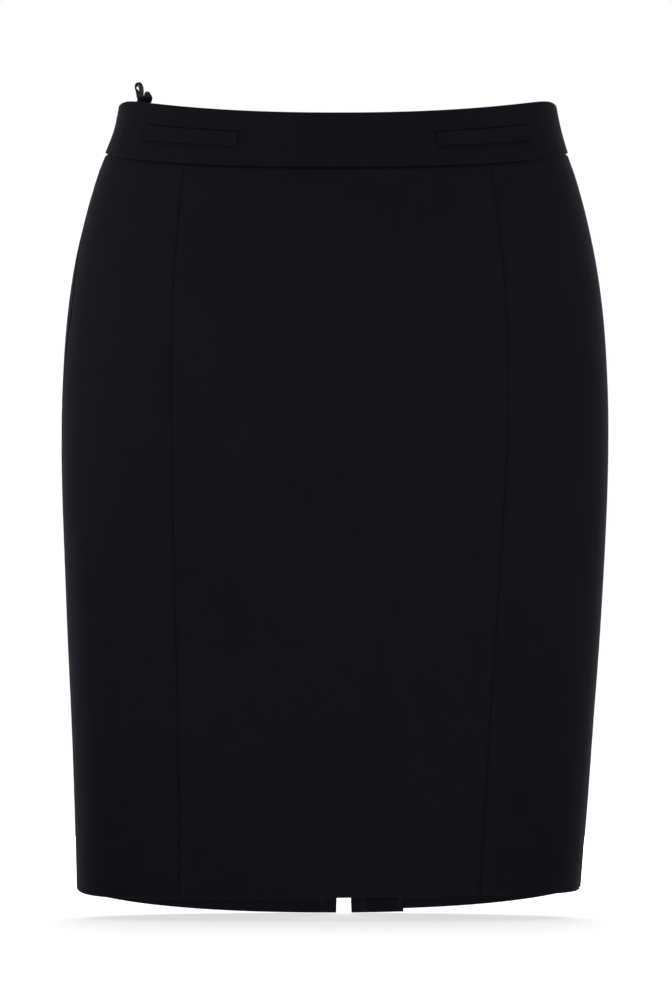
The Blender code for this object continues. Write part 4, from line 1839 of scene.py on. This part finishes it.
@dataclass(frozen=True)
class HangerLoop:
    """A loop of narrow satin tape, sewn inside the band and standing above it."""

    cut: Cut
    name: str
    free: tuple[TapeStation, ...]
    near_offset: float
    far_offset: float
    width: float = 0.0034
    solid_thickness: float = 0.0009
    thickness: float = 0.00055
    clear: float = 0.0006
    steps: int = 8
    selvedge_step_deg: int = 36
    hollow_middle: float = 0.8  # the tape's thickness in its middle, as a share of that at the selvedges
    smooth_deg: float = 60

    def sewn(self, offset: float) -> list[TapeStation]:
        """The lowest stations, on the band's inner face.

        Args:
            offset: How far behind the right side they lie.

        Returns:
            The stations, from the lowest up.
        """
        form = self.cut.form
        inward = self.cut.wall + self.clear + self.solid_thickness / 2
        stations = []
        for end in SEWN_ENDS:
            height = np.array(end.height)
            turn = form.along(np.array(-QUARTER), height, -offset)
            stations.append(TapeStation(*form.point(turn, height, -inward - end.lift), 0))
        return stations

    def line(self) -> Grid:
        """The tape's middle line and twist, on a smooth curve through all the stations."""
        near, far = self.sewn(self.near_offset), self.sewn(self.far_offset)
        stations = np.array(near + list(self.free) + far[::-1], float)
        padded = np.vstack([stations[:1], stations, stations[-1:]])
        made = []
        for p, q, r, s in zip(padded, padded[1:], padded[2:], padded[3:]):
            for k in range(self.steps):
                t = k / self.steps
                bend = (r - p) * t + (2 * p - 5 * q + 4 * r - s) * t**2 + (3 * q - p - 3 * r + s) * t**3
                made.append(q + 0.5 * bend)
        return np.array(made + [stations[-1]])

    def rim(self) -> list[tuple[float, float]]:
        """The tape's section: places across its width and through its thickness, with round selvedges."""
        half, edge = self.width / 2, self.thickness / 2
        inner = half - edge
        turns = [math.radians(turn) for turn in range(-90, 91, self.selvedge_step_deg)]
        right = [(inner + edge * math.cos(turn), edge * math.sin(turn)) for turn in turns]
        left = [(-x, -y) for x, y in right]
        middle = edge * self.hollow_middle
        return right + [(0.0, middle)] + left + [(0.0, -middle)]

    def build(self, wardrobe: Wardrobe) -> bpy.types.Object:
        """Builds and dresses the loop.

        Args:
            wardrobe: The finishes.

        Returns:
            The loop.
        """
        line = self.line()
        places, twist = line[:, :3], np.radians(line[:, 3])
        forward = np.gradient(places, axis=0)
        forward /= np.linalg.norm(forward, axis=1, keepdims=True)
        width = np.stack([np.sin(twist), np.cos(twist), 0 * twist], axis=-1)
        width -= forward * (width * forward).sum(axis=1, keepdims=True)
        width /= np.linalg.norm(width, axis=1, keepdims=True)
        thick = np.cross(forward, width)
        rim = self.rim()
        rings = np.stack([places + width * x + thick * y for x, y in rim], axis=1)
        count, around = rings.shape[:2]
        index = np.arange(count * around).reshape(count, around)
        after = np.roll(index, -1, axis=1)
        faces = np.stack([index[:-1], after[:-1], after[1:], index[1:]], axis=-1).reshape(-1, 4).tolist()
        faces += [index[0, ::-1].tolist(), index[-1].tolist()]
        along = np.concatenate([[0], np.cumsum(np.linalg.norm(np.diff(places, axis=0), axis=1))])
        across = np.array([x for x, _ in rim])
        flat = np.stack(np.broadcast_arrays(across[None, :], along[:, None]), axis=-1).reshape(-1, 2)
        piece = Bench.made(f"{self.name}_tape", rings, faces)
        Bench.unroll(piece, flat[[vertex for side in faces for vertex in side]])
        bpy.ops.object.mode_set(mode="EDIT")
        bpy.ops.mesh.select_all(action="SELECT")
        bpy.ops.mesh.normals_make_consistent(inside=False)
        Bench.close()
        bpy.ops.object.shade_smooth_by_angle(angle=math.radians(self.smooth_deg))
        ride(piece, wardrobe.loop_tape, [self.name])
        log.info("%s: a tape %.3f m long", piece.name, along[-1])
        return piece


@dataclass(frozen=True)
class Zip:
    """The concealed zip inside the centre back: tapes, coil, slider, pull tab and bottom stop."""

    cut: Cut
    foot: float = -0.205
    top_below_band: float = 0.003
    tape_width: float = 0.0120
    tape_gap: float = 0.0022
    liner_gap: float = 0.0005
    tape_thickness: float = 0.00055
    tape_columns: int = 6
    tape_rows: int = 60
    tooth_pitch: float = 0.00125
    tooth_radius: float = 0.00036
    tooth_length: float = 0.0020
    tooth_sides: int = 8
    tooth_end_inset: float = 0.35  # in tooth radii
    tooth_end_rise: float = 0.3
    coil_below_slider: float = 0.0006
    coil_above_foot: float = 0.0035
    coil_stagger: float = 0.00010
    coil_smooth_deg: float = 50
    pull_height: float = -0.0130
    pull_stand_off: float = 0.0013
    pull_length: float = 0.0200
    pull_thickness: float = 0.0009
    pull_rounding: float = 0.00014
    pull_straight: float = 0.0039
    pull_taper: float = 0.0026
    pull_shoulder: float = 0.0022
    pull_waist: float = 0.0017
    pull_tip_radius: float = 0.0026
    eye_height: float = 0.00215
    eye_width: float = 0.0022
    pull_panel: Size = (0.0017, 0.0003, 0.0095)
    pull_panel_height: float = -0.0125
    cutter: float = 0.004
    stem_thickness: float = 0.0014
    stem_root: float = 0.0014
    stem_rounding: float = 0.00012
    stem_radius: float = 0.0017
    stem_hole: float = 0.00095
    slider_size: Vector = field(default_factory=lambda: Vector((0.0064, 0.0023, 0.0090)))
    slider_inset: float = 0.00385
    slider_below: float = 0.0010
    slider_taper: float = 0.62
    slider_rim: float = 0.0007
    slider_recess: float = 0.0006
    slider_rounding: float = 0.00030
    stop_size: Size = (0.0019, 0.0010, 0.0022)
    stop_rounding: float = 0.00025

    def hinge(self) -> Matrix:
        """The pull tab's pivot: X across, Y out of the cloth and Z up along the band's slope."""
        form, face_out = self.cut.form, self.cut.band_proud
        heights = np.array([self.pull_height, self.pull_height - self.pull_length])
        top, foot = form.point(self.cut.centre_back(heights), heights, face_out)
        slope = math.atan2(foot[1] - top[1], self.pull_length)
        joint = next(j for j in frame["joints"] if j["child"] == Body.PULL_TAB.value)
        return Matrix.Translation(joint["pos_m"]) @ Matrix.Rotation(slope, 4, "X")

    def tape(self, side: Side) -> Sheet:
        """One of the two tapes.

        Args:
            side: The side it is on.

        Returns:
            Its sheet, not yet built.
        """
        cut = self.cut
        near, far = self.tape_gap / 2, self.tape_gap / 2 + self.tape_width
        if side is Side.LEFT:
            start, end = cut.moved(cut.centre_back, -far), cut.moved(cut.centre_back, -near)
        else:
            seam = cut.centre_back_from_right
            start, end = cut.moved(seam, near), cut.moved(seam, far)
        return Sheet(
            name=f"zip_tape_{side.word}_weave",
            cut=cut,
            start=start,
            end=end,
            low=steady(self.foot),
            high=lambda turn: cut.top_edge(turn) - self.top_below_band,
            across=plain(self.tape_columns),
            up=plain(self.tape_rows),
            outward=-cut.wall - self.liner_gap,
            thickness=self.tape_thickness,
        )

    def coil(self) -> bpy.types.Object:
        """The closed coil: one tooth modelled by hand, then copied down the seam."""
        radius = self.tooth_radius
        tooth = Bench.drum("zip_tooth", radius, self.tooth_length, Vector(), Along.X, self.tooth_sides)
        Bench.pick(tooth, lambda normal: abs(normal.x) > Bench.FACING)
        bpy.ops.mesh.inset(thickness=radius * self.tooth_end_inset, depth=radius * self.tooth_end_rise)
        Bench.close()
        corners = np.array([vertex.co for vertex in tooth.data.vertices])
        sides = [list(side.vertices) for side in tooth.data.polygons]
        bpy.data.objects.remove(tooth)
        bottom = self.hinge().translation.z - self.slider_below - self.slider_size.z / 2
        heights = np.arange(
            bottom - self.coil_below_slider, self.foot + self.coil_above_foot, -self.tooth_pitch
        )
        inward = self.cut.wall + self.liner_gap + radius
        turns = self.cut.centre_back(heights)
        places = self.cut.form.point(turns, heights, -inward + self.cut.slack(turns, heights))
        places[::2, 0] -= self.coil_stagger
        places[1::2, 0] += self.coil_stagger
        points = places[:, None, :] + corners[None, :, :]
        firsts = range(0, len(places) * len(corners), len(corners))
        faces = [[vertex + first for vertex in side] for first in firsts for side in sides]
        piece = Bench.made("zip_coil", points, faces)
        bpy.ops.object.shade_smooth_by_angle(angle=math.radians(self.coil_smooth_deg))
        return piece

    def slider(self) -> bpy.types.Object:
        """The slider's body, with the stem that carries the tab's bar."""
        size = self.slider_size
        inward = self.pull_stand_off + self.slider_inset
        body = Bench.block("zip_slider_body", size, Vector((0, -inward - size.y / 2, -self.slider_below)))
        Bench.pick(body, lambda normal: normal.z < -Bench.FACING)
        bpy.ops.transform.resize(value=(self.slider_taper, 1, 1), center_override=(0, -inward, 0))
        Bench.close()
        Bench.pick(body, lambda normal: normal.y > Bench.FACING)
        bpy.ops.mesh.inset(thickness=self.slider_rim)
        bpy.ops.transform.translate(value=(0, -self.slider_recess, 0))
        Bench.close()
        Bench.round_off(body, self.slider_rounding, steps=3)
        root = inward + self.stem_root
        stem = Bench.block(
            "stem", Vector((self.stem_thickness, root, self.stem_radius * 2)), Vector((0, -root / 2, 0))
        )
        nose = Bench.drum("nose", self.stem_radius, self.stem_thickness, Vector(), Along.X)
        Bench.combine(stem, nose, Joining.ADD)
        hole = Bench.drum("hole", self.stem_hole, self.cutter, Vector(), Along.X, sides=24)
        Bench.combine(stem, hole, Joining.CUT)
        Bench.round_off(stem, self.stem_rounding)
        Bench.combine(body, stem, Joining.ADD)
        Bench.place(body, self.hinge())
        return body

    def pull(self) -> bpy.types.Object:
        """The pull tab: a waisted plate with a round tip, an eye over its bar and a shallow panel."""
        bar = self.pull_thickness / 2
        centre = -self.pull_length + self.pull_tip_radius
        length = bar - centre
        tab = Bench.block(
            "zip_pull_plate",
            Vector((2 * self.pull_shoulder, self.pull_thickness, length)),
            Vector((0, 0, bar - length / 2)),
        )
        Bench.pick(tab, lambda normal: normal.z < -Bench.FACING)
        bpy.ops.transform.translate(value=(0, 0, length - self.pull_straight))
        for further, widening in (
            (self.pull_taper, self.pull_waist / self.pull_shoulder),
            (length - self.pull_straight - self.pull_taper, self.pull_tip_radius / self.pull_waist),
        ):
            bpy.ops.mesh.extrude_region_move(TRANSFORM_OT_translate={"value": (0, 0, -further)})
            bpy.ops.transform.resize(value=(widening, 1, 1), center_override=(0, 0, 0))
        Bench.close()
        tip = Bench.drum(
            "tip", self.pull_tip_radius, self.pull_thickness, Vector((0, 0, centre)), Along.Y, sides=40
        )
        Bench.combine(tab, tip, Joining.ADD)
        eye = Bench.block(
            "eye",
            Vector((self.eye_width, self.cutter, self.eye_height)),
            Vector((0, 0, -bar - self.eye_height / 2)),
        )
        Bench.combine(tab, eye, Joining.CUT)
        for out in (1, -1):
            hollow = Bench.block(
                "hollow",
                Vector(self.pull_panel),
                Vector((0, out * self.pull_thickness / 2, self.pull_panel_height)),
            )
            Bench.combine(tab, hollow, Joining.CUT)
        Bench.round_off(tab, self.pull_rounding)
        Bench.place(tab, self.hinge())
        return tab

    def bottom_stop(self) -> bpy.types.Object:
        """The small clamp at the foot of the coil."""
        _, depth, rise = self.stop_size
        height = np.array(self.foot + rise)
        turn = self.cut.centre_back(height)
        inward = self.cut.wall + self.liner_gap + depth / 2
        place = self.cut.form.point(turn, height, -inward + self.cut.slack(turn, height))
        stop = Bench.block("zip_bottom_stop", Vector(self.stop_size), Vector(place))
        Bench.round_off(stop, self.stop_rounding)
        return stop

    def build(self, wardrobe: Wardrobe) -> None:
        """Builds and dresses the zip.

        Args:
            wardrobe: The finishes.
        """
        coil = self.coil()
        ride(coil, wardrobe.nylon)
        stop = self.bottom_stop()
        ride(stop, wardrobe.metal)
        for side in Side:
            sewn_on = [coil, stop] if side is Side.LEFT else []
            panel = f"back_panel_{side.word}_cloth"
            self.tape(side).dress(wardrobe.zip_tape, Slot.ZIP_TAPE, [panel], sewn_on)
        ride(self.slider(), wardrobe.metal, ["zip_slider"])
        ride(self.pull(), wardrobe.metal, ["zip_pull_tab"], Body.PULL_TAB)


# ---------------------------------------------------------------- the studio
@dataclass(frozen=True)
class Lamp:
    """A soft lamp, as strong on the skirt as this share of an even white surround."""

    name: str
    place: Place
    width: float
    height: float
    share: float
    aim: Place = (0.0, 0.0, -0.27)

    def light(self, distance: float) -> bpy.types.Light:
        """Makes the panel.

        Args:
            distance: How far off it shines on the skirt.

        Returns:
            The light.
        """
        data = bpy.data.lights.new(self.name, "AREA")
        data.shape = "RECTANGLE"
        data.size = self.width
        data.size_y = self.height
        data.energy = self.share * (math.pi * distance) ** 2
        return data


@dataclass(frozen=True)
class Spot(Lamp):
    """A round lamp whose beam is narrow and fades out towards its rim."""

    beam_deg: float = 30.0

    def light(self, distance: float) -> bpy.types.Light:
        """Makes the spot.

        Args:
            distance: How far off it shines on the skirt.

        Returns:
            The light.
        """
        data = bpy.data.lights.new(self.name, "SPOT")
        data.shadow_soft_size = self.width / 2
        data.spot_size = math.radians(self.beam_deg)
        data.spot_blend = 1.0
        data.energy = 4 * self.share * (math.pi * distance) ** 2
        return data


@dataclass(frozen=True)
class Studio:
    """A white floor just under the hem, with a shadow painted into its glow round the skirt, an even
    surround, soft lamps and the camera.
    """

    floor_below_hem: float = 0.0002
    floor_half: float = 30.0
    # painted shadow: the floor glows less near the skirt, rising to far_glow beyond glow_reach
    near_glow: float = 0.58
    far_glow: float = 0.88
    glow_reach: tuple[float, float] = (0.56, 1.05)
    floor_colour: Colour = (0.80, 0.80, 0.80)
    floor_pale: Colour = (0.82, 0.82, 0.82)
    floor_roughness: float = 0.9
    cloud_size: Size = (0.9, 0.9, 0.9)
    surround: float = 0.25
    aim: Place = (-0.0011, 0.0, -0.2734)
    eye_height: float = -0.4105
    distance: float = 5.0
    field_height: float = 0.6820
    sensor_width: float = 36.0
    seen_as_far_as: float = 200.0
    lamps: tuple[Lamp, ...] = (
        Lamp("lamp_low", (0.1, -3.0, -0.50), 1.0, 0.09, 1.30),
        Lamp("lamp_top", (0.0, 0.6, 2.3), 2.4, 2.4, 0.35),
        Lamp("lamp_back", (0.0, 3.0, 0.30), 1.2, 1.2, 0.90),
        Lamp("lamp_inside", (0.0, 0.0, -0.36), 0.16, 0.08, 0.10, aim=(0.0, 0.01, -0.55)),
        Spot("spot_left", (-1.7, -0.10, 0.05), 0.5, 0.5, 1.20, aim=(-0.08, 0.0, -0.08), beam_deg=26.0),
        Spot("spot_right", (1.7, -0.15, 0.05), 0.5, 0.5, 0.65, aim=(0.08, 0.0, -0.10), beam_deg=26.0),
    )

    def floor(self, lowest: float) -> None:
        """Lays the floor, which glows so that it stays white, and glows less near the skirt as a painted
        shadow.

        Args:
            lowest: The height of the skirt's lowest point.
        """
        level = lowest - self.floor_below_hem
        bpy.ops.object.select_all(action="DESELECT")
        bpy.ops.mesh.primitive_plane_add(size=2 * self.floor_half, location=(0, 0, level))
        floor = Bench.named("studio_floor")
        paint = Paint("studio_white")
        place = paint.object_place()
        soft = paint.noise(place, self.cloud_size, detail=1.0)
        # painted shadow: the glow is dimmer near the skirt, from near_glow out to far_glow
        away = paint.distance(place).smooth(*self.glow_reach)
        near, far = (self.near_glow,) * 3, (self.far_glow,) * 3
        floor.data.materials.append(
            paint.finish(
                {
                    "Base Color": paint.mixed(self.floor_colour, self.floor_pale, soft),
                    "Roughness": self.floor_roughness,
                    "Specular IOR Level": 0.0,
                    "Emission Color": paint.mixed(near, far, away),
                    "Emission Strength": 1.0,
                },
                self.floor_colour,
            )
        )
        floor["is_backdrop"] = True

    def room(self) -> None:
        """Makes the surround, which is white to look at and softer as a light."""
        world = bpy.data.worlds.new("studio_surround")
        world.use_nodes = True
        nodes, links = world.node_tree.nodes, world.node_tree.links
        seen = nodes.new("ShaderNodeLightPath").outputs["Is Camera Ray"]
        strength = nodes.new("ShaderNodeMapRange")
        strength.inputs["To Min"].default_value = self.surround
        strength.inputs["To Max"].default_value = 1.0
        links.new(seen, strength.inputs["Value"])
        background = nodes["Background"]
        background.inputs["Color"].default_value = (1.0, 1.0, 1.0, 1.0)
        links.new(strength.outputs["Result"], background.inputs["Strength"])
        bpy.context.scene.world = world

    @staticmethod
    def stand(name: str, data: bpy.types.ID, place: Vector, towards: Vector) -> bpy.types.Object:
        """Stands a lamp or the camera in its place.

        Args:
            name: Its name.
            data: The light or the camera.
            place: Where it stands.
            towards: The way it looks.

        Returns:
            The object.
        """
        made = bpy.data.objects.new(name, data)
        made.location = place
        made.rotation_euler = towards.to_track_quat("-Z", "Y").to_euler()
        bpy.context.scene.collection.objects.link(made)
        return made

    def hang(self, lamp: Lamp) -> None:
        """Hangs a lamp, turned to what it lights.

        Args:
            lamp: The lamp.
        """
        towards = Vector(lamp.aim) - Vector(lamp.place)
        made = self.stand(lamp.name, lamp.light(towards.length), Vector(lamp.place), towards)
        made.visible_camera = False

    def camera(self) -> None:
        """Sets the camera up in front of the skirt."""
        data = bpy.data.cameras.new("camera")
        data.sensor_width = self.sensor_width
        eye = Vector((self.aim[0], -self.distance, self.eye_height))
        towards = Vector(self.aim) - eye
        data.lens = data.sensor_width * towards.length / self.field_height
        data.clip_end = self.seen_as_far_as
        bpy.context.scene.camera = self.stand("camera", data, eye, towards)

    def build(self, lowest: float) -> None:
        """Builds the studio round the skirt.

        Args:
            lowest: The height of the skirt's lowest point.
        """
        self.floor(lowest)
        self.room()
        for lamp in self.lamps:
            self.hang(lamp)
        self.camera()
        bpy.context.scene.view_settings.view_transform = "Standard"


def main() -> None:
    """Dresses the skirt, piece by piece, and sets up the studio."""
    logging.basicConfig(level=logging.INFO, format="%(name)s: %(message)s")
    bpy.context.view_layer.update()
    cut = Cut()
    wardrobe = Wardrobe()
    Panels(cut).build(wardrobe)
    loops = (
        HangerLoop(cut, "hanger_loop_tall", TALL_LOOP, near_offset=-0.0035, far_offset=0.0018),
        HangerLoop(cut, "hanger_loop_low", LOW_LOOP, near_offset=0.0075, far_offset=0.0125),
    )
    tapes = [loop.build(wardrobe) for loop in loops]
    Waistband(cut).build(wardrobe, tapes)
    SlitFacing(cut).build(wardrobe)
    Zip(cut).build(wardrobe)
    Studio().build(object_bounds()[0].z)


if __name__ == "__main__":
    main()
